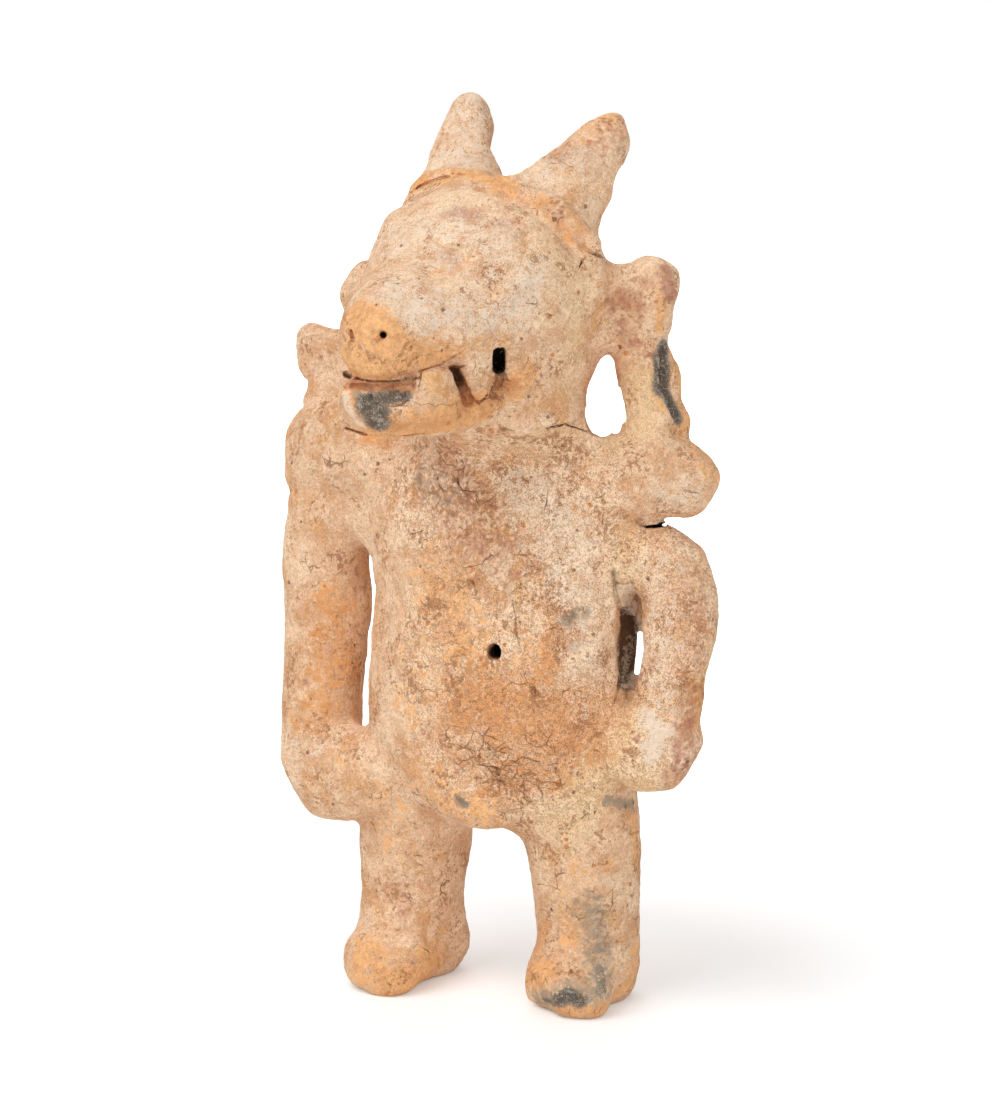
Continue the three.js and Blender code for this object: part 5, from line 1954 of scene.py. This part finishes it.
HEAD_MARKS = (
    Mark("crown seam left", Layer.BARE, ((410, 188), (430, 176), (462, 172), (500, 180)), 3.2, 1.2),
    Mark("crown seam right", Layer.BARE, ((500, 185), (530, 195), (545, 205)), 3.6, 0.8),
    Mark("crown valley shade", Layer.BARE, ((545, 212), (570, 238), (585, 250)), 2.2, 0.5),
    Mark("near horn tip", Layer.BARE, ((605, 120), (590, 130)), 8, 0.5),
    Mark("near horn spots", Layer.STAIN, ((560, 160), (590, 150), (612, 135)), 7, 0.42),
    Mark("far horn spots", Layer.STAIN, ((448, 130), (475, 155)), 7, 0.34),
    Mark("forehead stain", Layer.STAIN, ((455, 211), (475, 216)), 3.4, 0.7),
    Mark("forehead blot", Layer.STAIN, ((500, 222), (518, 235)), 5, 0.42),
    Mark("eye stain", Layer.STAIN, ((450, 256), (456, 266)), 3.6, 0.6),
    Mark("eye blot", Layer.BARE, ((440, 275), (470, 268)), 7, 0.3),
    Mark("plate stain", Layer.STAIN, ((612, 303), (625, 298), (635, 306)), 4.0, 0.62),
    Mark("plate stain low", Layer.STAIN, ((622, 328), (634, 342)), 3.4, 0.5),
    Mark("plate stain mid", Layer.STAIN, ((640, 320),), 2.4, 0.4),
    Mark("plate corner stain", Layer.STAIN, ((666, 268), (670, 297)), 2.8, 0.95),
    Mark("plate edge bare", Layer.BARE, ((662, 300), (660, 325)), 3, 0.6),
    Mark("crown side stain", Layer.STAIN, ((548, 205), (560, 218)), 3.4, 0.35),
    Mark("nose bridge stain", Layer.STAIN, ((485, 333), (495, 330)), 2.2, 0.5),
    Mark("cheek crust", Layer.CRUST, ((470, 322), (515, 308), (535, 275)), 7, 0.6),
    Mark("face crust", Layer.CRUST, ((400, 290), (425, 310), (460, 322)), 9, 0.6),
    Mark("dome crust", Layer.CRUST, ((390, 240), (440, 225), (490, 245)), 11, 0.42),
    Mark("temple crust", Layer.CRUST, ((430, 262), (480, 275), (520, 262)), 9, 0.36),
    Mark("far horn crust", Layer.CRUST, ((445, 162), (480, 160), (468, 115), (462, 80)), 8, 0.5),
    Mark("near horn crust", Layer.CRUST, ((535, 182), (575, 165)), 8, 0.42),
    Mark("ear root earth", Layer.EARTH, ((583, 285), (575, 330), (568, 380)), 7, 0.55),
    Mark("cheek earth", Layer.EARTH, ((545, 250), (560, 300)), 9, 0.3),
    Mark("dome slip", Layer.SLIP, ((400, 240), (470, 230), (540, 300), (450, 300)), 24, 0.8),
    Mark("plate slip", Layer.SLIP, ((640, 275), (615, 285)), 10, 0.8),
    Mark("horn slip", Layer.SLIP, ((465, 120), (460, 160)), 12, 0.8),
    Mark("horn base slip", Layer.SLIP, ((545, 180), (580, 165)), 9, 0.8),
    Mark("nape bare", Layer.BARE, ((0, 30, 160), (10, 30, 175)), 14, 0.4),
    Mark("nape crust", Layer.CRUST, ((-15, 28, 175), (-5, 30, 188)), 13, 0.35),
)

HEAD_CRACKS = (
    Crack(
        "crown line", ((410, 193), (417, 189), (422, 184), (430, 182), (437, 178), (445, 178)), 0.3
    ),
    Crack("temple line", ((579, 268), (584, 259), (592, 254), (603, 258)), 0.35),
)


def make_head() -> Head:
    """Returns the head with its notes."""
    return Head(
        parts=HEAD_PARTS,
        pulls=HEAD_PULLS,
        joints=HEAD_JOINTS,
        dabs=HEAD_DABS,
        furrows=HEAD_FURROWS,
        clefts=HEAD_CLEFTS,
        marks=HEAD_MARKS,
        cracks=HEAD_CRACKS,
    )


JAWS_PARTS = (
    Part("upper_jaw", Slot.BARE_CLAY, 1.5),
    Part("lower_jaw", Slot.BARE_CLAY, 1.4),
    Part("tongue", Slot.BARE_CLAY, 0.6),
    Part("upper_fang_left", Slot.PALE_CRUST, 0.8),
    Part("upper_fang_right", Slot.PALE_CRUST, 0.8),
    Part("lower_fang_left", Slot.PALE_CRUST, 0.8),
    Part("lower_fang_right", Slot.PALE_CRUST, 0.8),
)

JAWS_DABS = (
    Dab("nose ball", (371, 330), 7, -0.8),
    Dab("behind the nose", (405, 305), 8, 0.8),
    Dab("lip over the upper fang", (466, 340), 7, -1.1),
    Dab("upper fang", (479, 376), 4.5, -1.2),
    Dab("lower fang", (437, 386), 5.0, -1.3),
    Dab("chin", (372, 418), 6, -0.4),
)

JAWS_FURROWS = (
    Furrow("lip edge", ((345, 368), (370, 372), (400, 372), (416, 369)), 4.0, -0.6),
    Furrow("step under the lip", ((350, 386), (375, 388), (405, 388)), 3.4, 0.9),
    Furrow("jaw rim", ((350, 408), (400, 416), (450, 415), (495, 405)), 5.0, -0.9),
    Furrow("under the jaw", ((345, 428), (385, 442), (430, 438), (480, 424), (515, 408)), 5.0, 1.2),
)

JAWS_CLEFTS = (
    Cleft(
        "jaw foot",
        ((346, 428, 0.3, 1.4), (366, 435, 0.4, 1.8), (395, 436, 0.35, 1.4), (425, 433, 0.2, 0.8)),
    ),
    Cleft("lip corner", ((345, 373, 0.6, 1.4), (350, 377, 0.6, 1.6), (358, 378, 0.3, 1.8))),
    Cleft(
        "lip slit",
        ((354, 379, 0.2, 1.4), (375, 381, 0.22, 1.6), (395, 381, 0.2, 1.5), (418, 378, 0.28, 1.6)),
    ),
    Cleft("under the lip", ((352, 386, 0.7, 0.9), (375, 388, 1.2, 1.3), (410, 387, 1.0, 1.3))),
    Cleft("lower fang side", ((421, 373, 0.2, 1.2), (420, 385, 0.14, 0.8), (416, 397, 0.1, 0.5))),
    Cleft("lip crack", ((421, 371, 0.3, 1.4), (432, 367, 0.25, 1.2), (443, 364, 0.2, 0.8))),
    Cleft("lip crack end", ((443, 362, 0.15, 0.7), (452, 357, 0.2, 0.6), (459, 353, 0.1, 0.5))),
    Cleft("fang foot crack", ((430, 404, 0.1, 0.4), (440, 406, 0.14, 0.5), (448, 405, 0.1, 0.4))),
    Cleft(
        "gap beside the fangs", ((454, 371, 1.3, 4.5), (458, 379, 1.6, 5.0), (463, 388, 1.6, 3.0))
    ),
    Cleft("gap foot", ((465, 390, 1.5, 2.0), (468, 397, 1.1, 1.4), (470, 401, 0.7, 1.0))),
    Cleft("gap roof", ((450, 368, 0.4, 2.5), (460, 367, 0.3, 1.6), (467, 365, 0.1, 0.5))),
    Cleft("upper fang tip", ((471, 397, 0.2, 1.0), (478, 403, 0.35, 1.4), (485, 398, 0.25, 1.2))),
    Cleft("upper fang side", ((486, 396, 0.2, 1.2), (492, 388, 0.25, 1.6), (493, 378, 0.3, 2.0))),
    Cleft("mouth hole", ((498, 353, 1.3, 9.0), (498, 360, 1.4, 10.0), (498, 369, 1.4, 9.0))),
    Cleft("mouth hole left", ((496, 352, 0.8, 9.0), (495, 370, 0.7, 9.0))),
    Cleft("mouth hole right", ((502, 350, 0.7, 9.0), (502, 369, 0.8, 9.0))),
    Cleft("mouth hole foot", ((499, 371, 1.3, 4.0), (499, 379, 1.3, 2.0), (498, 384, 1.0, 1.2))),
    Cleft("mouth hole corner", ((505, 373, 0.3, 1.6), (507, 380, 0.2, 0.9), (512, 382, 0.12, 0.5))),
    Cleft("near nostril", ((383, 334, 0.85, 3.0), (384, 335, 0.85, 3.0))),
    Cleft("near nostril mouth", ((383, 336, 0.9, 1.2), (377, 340, 0.6, 0.7))),
    Cleft("far nostril", ((351, 331, 0.4, 1.2), (352, 336, 0.6, 1.8), (353, 340, 0.5, 1.2))),
    Cleft("burn pit", ((402, 391, 0.7, 1.4), (403, 395, 0.6, 1.2))),
    Cleft("burn pit left", ((371, 396, 0.5, 1.0), (372, 401, 0.5, 1.0), (380, 406, 0.3, 0.7))),
    Cleft("lip tear", ((392, 407, 0.2, 0.6), (402, 405, 0.3, 0.8), (408, 400, 0.25, 0.7))),
)

JAWS_MARKS = (
    Mark("nose", Layer.BARE, ((362, 322), (375, 335), (388, 345)), 8, 1.3),
    Mark("upper lip", Layer.BARE, ((350, 362), (390, 362), (425, 352), (450, 348)), 6, 1.3),
    Mark("lip end", Layer.BARE, ((450, 346), (490, 342)), 3.5, 0.6),
    Mark(
        "lower jaw",
        Layer.BARE,
        ((350, 395), (366, 424), (400, 428), (440, 420), (485, 407)),
        6,
        1.2,
    ),
    Mark("jaw corner", Layer.BARE, ((485, 405), (515, 390), (528, 370)), 4.5, 0.8),
    Mark("jaw rust", Layer.RUST, ((395, 428), (440, 421), (485, 405), (505, 392)), 4.5, 0.45),
    Mark("lip edge rust", Layer.RUST, ((355, 373), (385, 376), (418, 370)), 1.8, 0.7),
    Mark("lower fang rust", Layer.RUST, ((440, 378), (447, 398)), 3.0, 0.5),
    Mark("jaw underside", Layer.BARE, ((370, 436), (410, 434), (440, 426)), 4, 1.0),
    Mark("burn", Layer.CHAR, ((366, 404), (378, 412), (376, 422)), 4.4, 1.2),
    Mark("burn right", Layer.CHAR, ((380, 400), (402, 394)), 3.2, 1.1),
    Mark("burn left", Layer.ASH, ((358, 392), (366, 398)), 2.6, 0.95),
    Mark("jaw end pale", Layer.CRUST, ((345, 396), (350, 412), (360, 424)), 2.2, 0.9),
    Mark("jaw end ash", Layer.ASH, ((342, 400), (346, 410)), 1.8, 0.6),
    # painted shade: near black down the mouth hole's walls
    Mark("hole soot", Layer.SOOT, ((498, 352), (498, 366)), 2.5, 1.3, 12),
    # painted shade: brown where the mouth hole's floor rises
    Mark("hole foot soot", Layer.RUST, ((499, 373), (499, 386), (512, 384)), 2.2, 0.9),
    # painted shade in the gap beside the fangs
    Mark("gap soot", Layer.GRIME, ((453, 371), (458, 383)), 2.2, 0.85, 6),
    # painted shade: brown on the floor of the gap beside the fangs
    Mark("gap foot soot", Layer.RUST, ((455, 372), (460, 384), (469, 400)), 3.0, 1.4, 3),
    Mark("gap foot stain", Layer.STAIN, ((460, 384), (468, 398)), 2.2, 0.6),
    # painted shade along the slit between the lips
    Mark(
        "lip slit soot", Layer.GRIME, ((348, 377), (360, 379), (390, 381), (416, 379)), 0.5, 0.6, 2
    ),
    # painted shade in the notch at the lip's corner
    Mark("lip notch", Layer.GRIME, ((344, 375), (349, 377)), 0.8, 0.9, 2),
    Mark("lip step", Layer.RUST, ((350, 384), (375, 388), (408, 389)), 2.6, 1.3),
    # painted shade under the lip's overhang, laid with the stain layer
    Mark("under the lip", Layer.STAIN, ((350, 384), (380, 387), (412, 387)), 2.0, 0.62),
    # painted shade inside the nostrils
    Mark("nostril soot", Layer.SOOT, ((383, 335),), 1.1, 1.1, 3),
    Mark("far nostril soot", Layer.STAIN, ((351, 331), (353, 340)), 0.9, 0.9),
    Mark("lower fang bare", Layer.BARE, ((434, 376), (440, 398)), 5, 0.62),
    Mark("lower fang earth", Layer.EARTH, ((436, 375), (440, 395)), 3.5, 0.5),
    Mark("upper fang slip", Layer.SLIP, ((475, 372), (482, 390)), 4, 1.0),
    Mark("upper fang bare", Layer.BARE, ((470, 385), (480, 398)), 3.2, 0.4),
)

JAWS_CRACKS = (
    Crack("lower fang side", ((422, 371), (421, 380), (418, 387)), 0.2),
    Crack(
        "lower fang foot",
        ((414, 402), (422, 405), (429, 403), (435, 407), (442, 404), (449, 406), (456, 403)),
        0.16,
    ),
    Crack("upper fang outline", ((467, 386), (472, 396), (479, 404), (484, 400), (492, 390)), 0.3),
    Crack(
        "lip crack", ((421, 371), (429, 368), (436, 367), (443, 363), (451, 359), (460, 353)), 0.22
    ),
)


def make_jaws() -> Jaws:
    """Returns the jaws with their notes."""
    return Jaws(
        parts=JAWS_PARTS,
        dabs=JAWS_DABS,
        furrows=JAWS_FURROWS,
        clefts=JAWS_CLEFTS,
        marks=JAWS_MARKS,
        cracks=JAWS_CRACKS,
    )


SHOULDERS_PARTS = (
    Part("ear_strut_left", Slot.BUFF_SLIP, 2.6),
    Part("ear_strut_right", Slot.BUFF_SLIP, 2.6),
    Part("ear_knob_right", Slot.BUFF_SLIP, 2.0),
    Part("shoulder_lobe_left", Slot.BUFF_SLIP, 2.4),
    Part("shoulder_lobe_right", Slot.BUFF_SLIP, 2.4),
)

SHOULDERS_PULLS = (
    Pull("strut outer edge high", (664, 330), (672, 331), 8),
    Pull("strut outer edge middle", (672, 370), (685, 372), 9),
    Pull("strut outer edge low", (682, 410), (690, 410), 7),
    Pull("near lobe top", (702, 460), (707, 456), 9),
    Pull("near strut foot outer edge", (685, 432), (689, 430), 7),
    Pull("near lobe tip", (713, 478), (717, 481), 6),
    Pull("ear hole head side", (588, 376), (593, 376), 9, TOWARDS_RIGHT),
    Pull("near lobe underside", (695, 507), (697, 516), 8),
    Pull("far lobe outer side", (283, 440), (293, 441), 10),
    Pull("far lobe outer top", (290, 412), (297, 417), 8),
    Pull("far notch", (298, 492), (289, 491), 8),
    Pull("below the knob", (320, 387), (302, 386), 8),
    Pull("knob top", (305, 330), (305, 323), 6),
    Pull("knob outer side", (297, 355), (304, 356), 6),
)

SHOULDERS_JOINTS = (
    Dab("near lobe root", (640, 500), 12),
    Dab("far lobe and arm", (325, 490), 15),
    Dab("far lobe and chest", (372, 480), 14),
    Dab("near plate and strut", (660, 330), 8),
    Dab("near strut foot", (640, 430), 9),
    Dab("far strut foot", (330, 400), 9),
)

SHOULDERS_CLEFTS = (
    Cleft(
        "ear hole",
        (
            (588, 408, 0.6, 30.0),
            (590, 420, 1.3, 30.0),
            (595, 429, 1.8, 30.0),
            (603, 431, 1.7, 30.0),
        ),
    ),
    Cleft(
        "ear hole right",
        (
            (618, 388, 0.6, 30.0),
            (619, 404, 1.0, 30.0),
            (614, 418, 1.4, 30.0),
            (606, 428, 1.7, 30.0),
        ),
    ),
    Cleft(
        "scar",
        (
            (663, 347, 0.5, 0.5),
            (663, 362, 1.4, 0.7),
            (662, 380, 1.9, 0.7),
            (667, 398, 1.7, 0.7),
            (672, 414, 0.9, 0.5),
        ),
    ),
    Cleft("arm crack", ((646, 527, 0.35, 2.5), (656, 526, 0.5, 5.0), (665, 525, 0.6, 8.0))),
    Cleft("arm crack end", ((634, 519, 0.15, 0.5), (641, 525, 0.3, 1.0), (647, 527, 0.3, 1.5))),
    Cleft("knob pit", ((321, 357, 0.5, 0.8), (322, 359, 0.5, 0.8))),
)

SHOULDERS_MARKS = (
    Mark(
        "scar", Layer.CHAR, ((664, 347), (661, 366), (663, 386), (670, 403), (677, 418)), 2.4, 1.3
    ),
    Mark("scar middle", Layer.CHAR, ((661, 362), (662, 388)), 3.5, 1.3),
    Mark("scar rim", Layer.BARE, ((674, 350), (684, 382), (688, 412), (682, 428)), 2.4, 1.2),
    Mark("scar rim left", Layer.BARE, ((654, 355), (654, 385), (662, 410)), 1.3, 0.8),
    Mark("strut spot", Layer.STAIN, ((652, 356),), 1.4, 1.0),
    Mark("strut stain", Layer.STAIN, ((640, 362),), 3.5, 0.35),
    Mark("strut foot earth", Layer.EARTH, ((640, 380), (640, 430), (620, 440)), 7, 0.8),
    Mark("lobe tip bare", Layer.BARE, ((705, 470), (712, 478)), 4.5, 0.5),
    Mark("lobe spots", Layer.CRUST, ((690, 485), (665, 500)), 6, 0.35),
    # painted shade: near black down the crack between arm and lobe
    Mark("arm crack soot", Layer.SOOT, ((648, 527), (665, 525)), 1.2, 1.2, 8),
    Mark("arm crack rust", Layer.STAIN, ((638, 520), (648, 527)), 1.8, 0.5),
)


def make_shoulders() -> Shoulders:
    """Returns the shoulders with their notes."""
    return Shoulders(
        parts=SHOULDERS_PARTS,
        pulls=SHOULDERS_PULLS,
        joints=SHOULDERS_JOINTS,
        clefts=SHOULDERS_CLEFTS,
        marks=SHOULDERS_MARKS,
    )


ARMS_PARTS = (
    Part("arm_left", Slot.BUFF_SLIP, 1.8),
    Part("arm_right", Slot.BUFF_SLIP, 1.8),
)

ARMS_PULLS = (
    Pull("near arm shoulder", (704, 548), (706, 547), 9),
    Pull("near forearm outer side", (712, 675), (708, 675), 10),
    Pull("near elbow corner", (702, 778), (695, 771), 9),
    Pull("near elbow bottom", (665, 796), (665, 791), 8),
    Pull("near armpit hollow", (630, 650), (618, 650), 12, TOWARDS_RIGHT),
    Pull("far gap torso side high", (379, 605), (388, 605), 15, TOWARDS_LEFT),
    Pull("far gap torso side", (375, 655), (379, 655), 13, TOWARDS_LEFT),
    Pull("far gap arm side", (364, 600), (369, 600), 12, TOWARDS_RIGHT),
    Pull("far gap arm side low", (366, 685), (363, 685), 12, TOWARDS_RIGHT),
    Pull("far armpit", (373, 552), (374, 580), 7),
    Pull("far elbow outer side", (280, 730), (283, 731), 10),
    Pull("far elbow corner", (288, 798), (291, 795), 8),
)

ARMS_JOINTS = (
    Dab("near shoulder front", (628, 560), 13),
    Dab("near hip and hand", (610, 735), 12),
    Dab("near hand below", (622, 785), 10),
    Dab("far shoulder front", (370, 540), 10),
    Dab("far hip and hand", (372, 760), 14),
)

ARMS_MARKS = (
    Mark("near arm sand", Layer.SAND, ((660, 560), (672, 640), (660, 740)), 17, 1.1),
    Mark("upper arm crust", Layer.CRUST, ((625, 590), (632, 610)), 4, 0.7),
    Mark("arm crust", Layer.CRUST, ((660, 575), (668, 610), (670, 655)), 11, 0.28),
    Mark("arm crust low", Layer.CRUST, ((655, 660), (665, 700)), 8, 0.38),
    Mark("hand crust", Layer.CRUST, ((645, 718), (662, 735), (650, 752)), 4.0, 0.85),
    Mark("arm outer stain", Layer.STAIN, ((690, 570), (700, 610), (695, 660)), 6, 0.3),
    Mark("forearm bare", Layer.BARE, ((695, 680), (700, 720)), 6, 0.7),
    Mark("forearm stain", Layer.STAIN, ((690, 700), (685, 755), (675, 785)), 6, 0.45),
    # painted shade in the elbow's crease
    Mark("elbow soot", Layer.STAIN, ((674, 742), (680, 754), (676, 766)), 1.9, 0.7),
    Mark("hand spot", Layer.STAIN, ((636, 739),), 1.4, 0.85),
    Mark("hand earth", Layer.EARTH, ((628, 715), (624, 770), (645, 785)), 9, 0.7),
    Mark("arm earth", Layer.EARTH, ((632, 545), (625, 580)), 7, 0.55),
    Mark("hip break", Layer.CRUST, ((626, 684), (636, 676)), 2.4, 0.7),
    Mark("far arm bare", Layer.BARE, ((330, 600), (335, 650), (318, 700), (315, 730)), 8, 0.62),
    Mark("far arm bare low", Layer.BARE, ((300, 720), (350, 770)), 7, 0.3),
    Mark("far arm rust", Layer.RUST, ((325, 620), (310, 680), (320, 740)), 10, 0.5),
    Mark("far arm spots", Layer.STAIN, ((306, 682),), 1.6, 1.0),
    Mark("far arm spot low", Layer.STAIN, ((342, 668),), 1.2, 0.9),
    Mark("far armpit stain", Layer.STAIN, ((345, 560), (362, 590)), 4, 0.35),
    Mark("far armpit crust", Layer.CRUST, ((372, 540), (374, 560)), 2.6, 0.7),
    Mark("far elbow crust", Layer.CRUST, ((295, 745), (330, 738)), 6, 0.4),
    Mark("near arm rust", Layer.RUST, ((685, 585), (695, 640), (690, 700)), 9, 0.5),
)


def make_arms() -> Arms:
    """Returns the arms with their notes."""
    return Arms(
        parts=ARMS_PARTS,
        pulls=ARMS_PULLS,
        joints=ARMS_JOINTS,
        marks=ARMS_MARKS,
    )


LEGS_PARTS = (
    Part("leg_left", Slot.BUFF_SLIP, 2.2),
    Part("leg_right", Slot.BUFF_SLIP, 2.2),
    Part("foot_left", Slot.BARE_CLAY, 2.0),
    Part("foot_right", Slot.BARE_CLAY, 2.0),
)

LEGS_PULLS = (
    Pull("far leg low outer side", (361, 915), (357, 915), 8),
    Pull("far leg inner side", (470, 850), (473, 850), 10),
    Pull("far heel", (464, 930), (470, 938), 9),
    Pull("far toes", (390, 985), (390, 994), 10),
    Pull("far foot outer side", (344, 960), (349, 960), 8),
    Pull("near foot inner side", (522, 975), (530, 973), 9),
    Pull("near toe tip", (532, 1003), (541, 991), 8),
    Pull("near toes", (596, 1005), (602, 1014), 9),
    Pull("near heel side", (636, 985), (634, 985), 8),
)

LEGS_JOINTS = (
    Dab("far ankle", (395, 930), 13),
    Dab("near ankle", (580, 945), 14),
    Dab("near foot and heel", (612, 985), 9),
)

LEGS_MARKS = (
    Mark("far foot bare", Layer.BARE, ((362, 962), (400, 985), (432, 968)), 9, 0.8),
    Mark("far foot front", Layer.BARE, ((365, 945), (378, 950)), 6, 0.5),
    Mark("far thigh bare", Layer.BARE, ((385, 800), (392, 850)), 8, 0.35),
    Mark("near foot bare", Layer.BARE, ((530, 975), (548, 975)), 6, 0.85),
    Mark("near foot sole bare", Layer.BARE, ((560, 1010), (600, 1010), (628, 985)), 3.5, 0.9),
    Mark("near heel bare", Layer.BARE, ((634, 950), (632, 975)), 4.5, 0.5),
    Mark("near thigh bare", Layer.BARE, ((632, 815), (636, 860)), 4, 0.8),
    Mark("knee bare", Layer.BARE, ((575, 870), (570, 905), (575, 935)), 6, 0.45),
    Mark("knee bare right", Layer.BARE, ((605, 865),), 3.5, 0.6),
    Mark("toe burn", Layer.CHAR, ((558, 999), (569, 995), (580, 1001)), 2.8, 1.1),
    Mark("toe burn foot", Layer.CHAR, ((545, 1000), (553, 1003), (562, 1004)), 1.5, 0.8),
    Mark("toe burn edge", Layer.ASH, ((540, 1000), (570, 992), (604, 990)), 4.4, 0.8),
    Mark("shin burn", Layer.ASH, ((590, 908), (592, 930), (600, 960), (601, 990)), 6.0, 0.66),
    Mark("shin burn core", Layer.CHAR, ((597, 930), (599, 955)), 1.5, 0.4),
    Mark("shin burn foot", Layer.CHAR, ((601, 972), (603, 990)), 3.0, 0.6),
    Mark("thigh top ash", Layer.ASH, ((608, 800), (632, 806)), 2.2, 0.95),
    Mark("thigh top stain", Layer.STAIN, ((610, 803), (635, 808)), 2.6, 0.35),
    Mark("thigh earth", Layer.EARTH, ((548, 820), (590, 800), (575, 830)), 8, 0.7),
    Mark("leg earth", Layer.EARTH, ((540, 870), (555, 890)), 6, 0.4),
    Mark("far leg spots", Layer.STAIN, ((405, 880), (400, 930)), 4, 0.3),
    Mark("leg slip", Layer.SLIP, ((400, 890), (560, 860)), 12, 0.4),
)


def make_legs() -> Legs:
    """Returns the legs with their notes."""
    return Legs(
        parts=LEGS_PARTS,
        pulls=LEGS_PULLS,
        joints=LEGS_JOINTS,
        marks=LEGS_MARKS,
    )


def dress(piece: Piece, part: Part, clay: bpy.types.Material, painter: Painter) -> None:
    """Gives a finished piece its material, its marks, its body and its node."""
    piece.name = f"{part.node}_clay"
    piece.data.name = piece.name
    piece.data.materials.clear()
    piece.data.materials.append(clay)
    painter.paint(piece)
    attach(piece, BODY)
    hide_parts(part.node)
    log.info("%s: %d points", piece.name, len(piece.data.vertices))


def main() -> None:
    """Builds the scene."""
    bpy.context.scene.view_settings.view_transform = "Standard"
    CAMERA.build()
    Studio().build()
    figure = Figure(
        make_trunk(), make_head(), make_jaws(), make_shoulders(), make_arms(), make_legs()
    )
    clay = WeatheredClay("weathered_clay", ClayFinish(), ClayPattern(), ClayRelief()).build()
    whole = figure.form()
    figure.roughen(whole)
    hands = Sculptor(whole)
    hands.stand_on_floor()
    hands.write()
    painter = Painter(hands, figure.assemblies())
    figure.open_up(whole, hands)
    sounding = SoundingParts()
    dress(sounding.labium(), Part(sounding.edge, Slot.BARE_CLAY, 0.0), clay, painter)
    skin = Sculptor(whole)
    tree = point_tree(skin)
    pieces = figure.part(whole)
    for part in figure.parts():
        wear_normals(pieces[part.node], skin, tree)
        dress(pieces[part.node], part, clay, painter)


if __name__ == "__main__":
    logging.basicConfig(level=logging.INFO, format="%(name)s %(message)s")
    main()
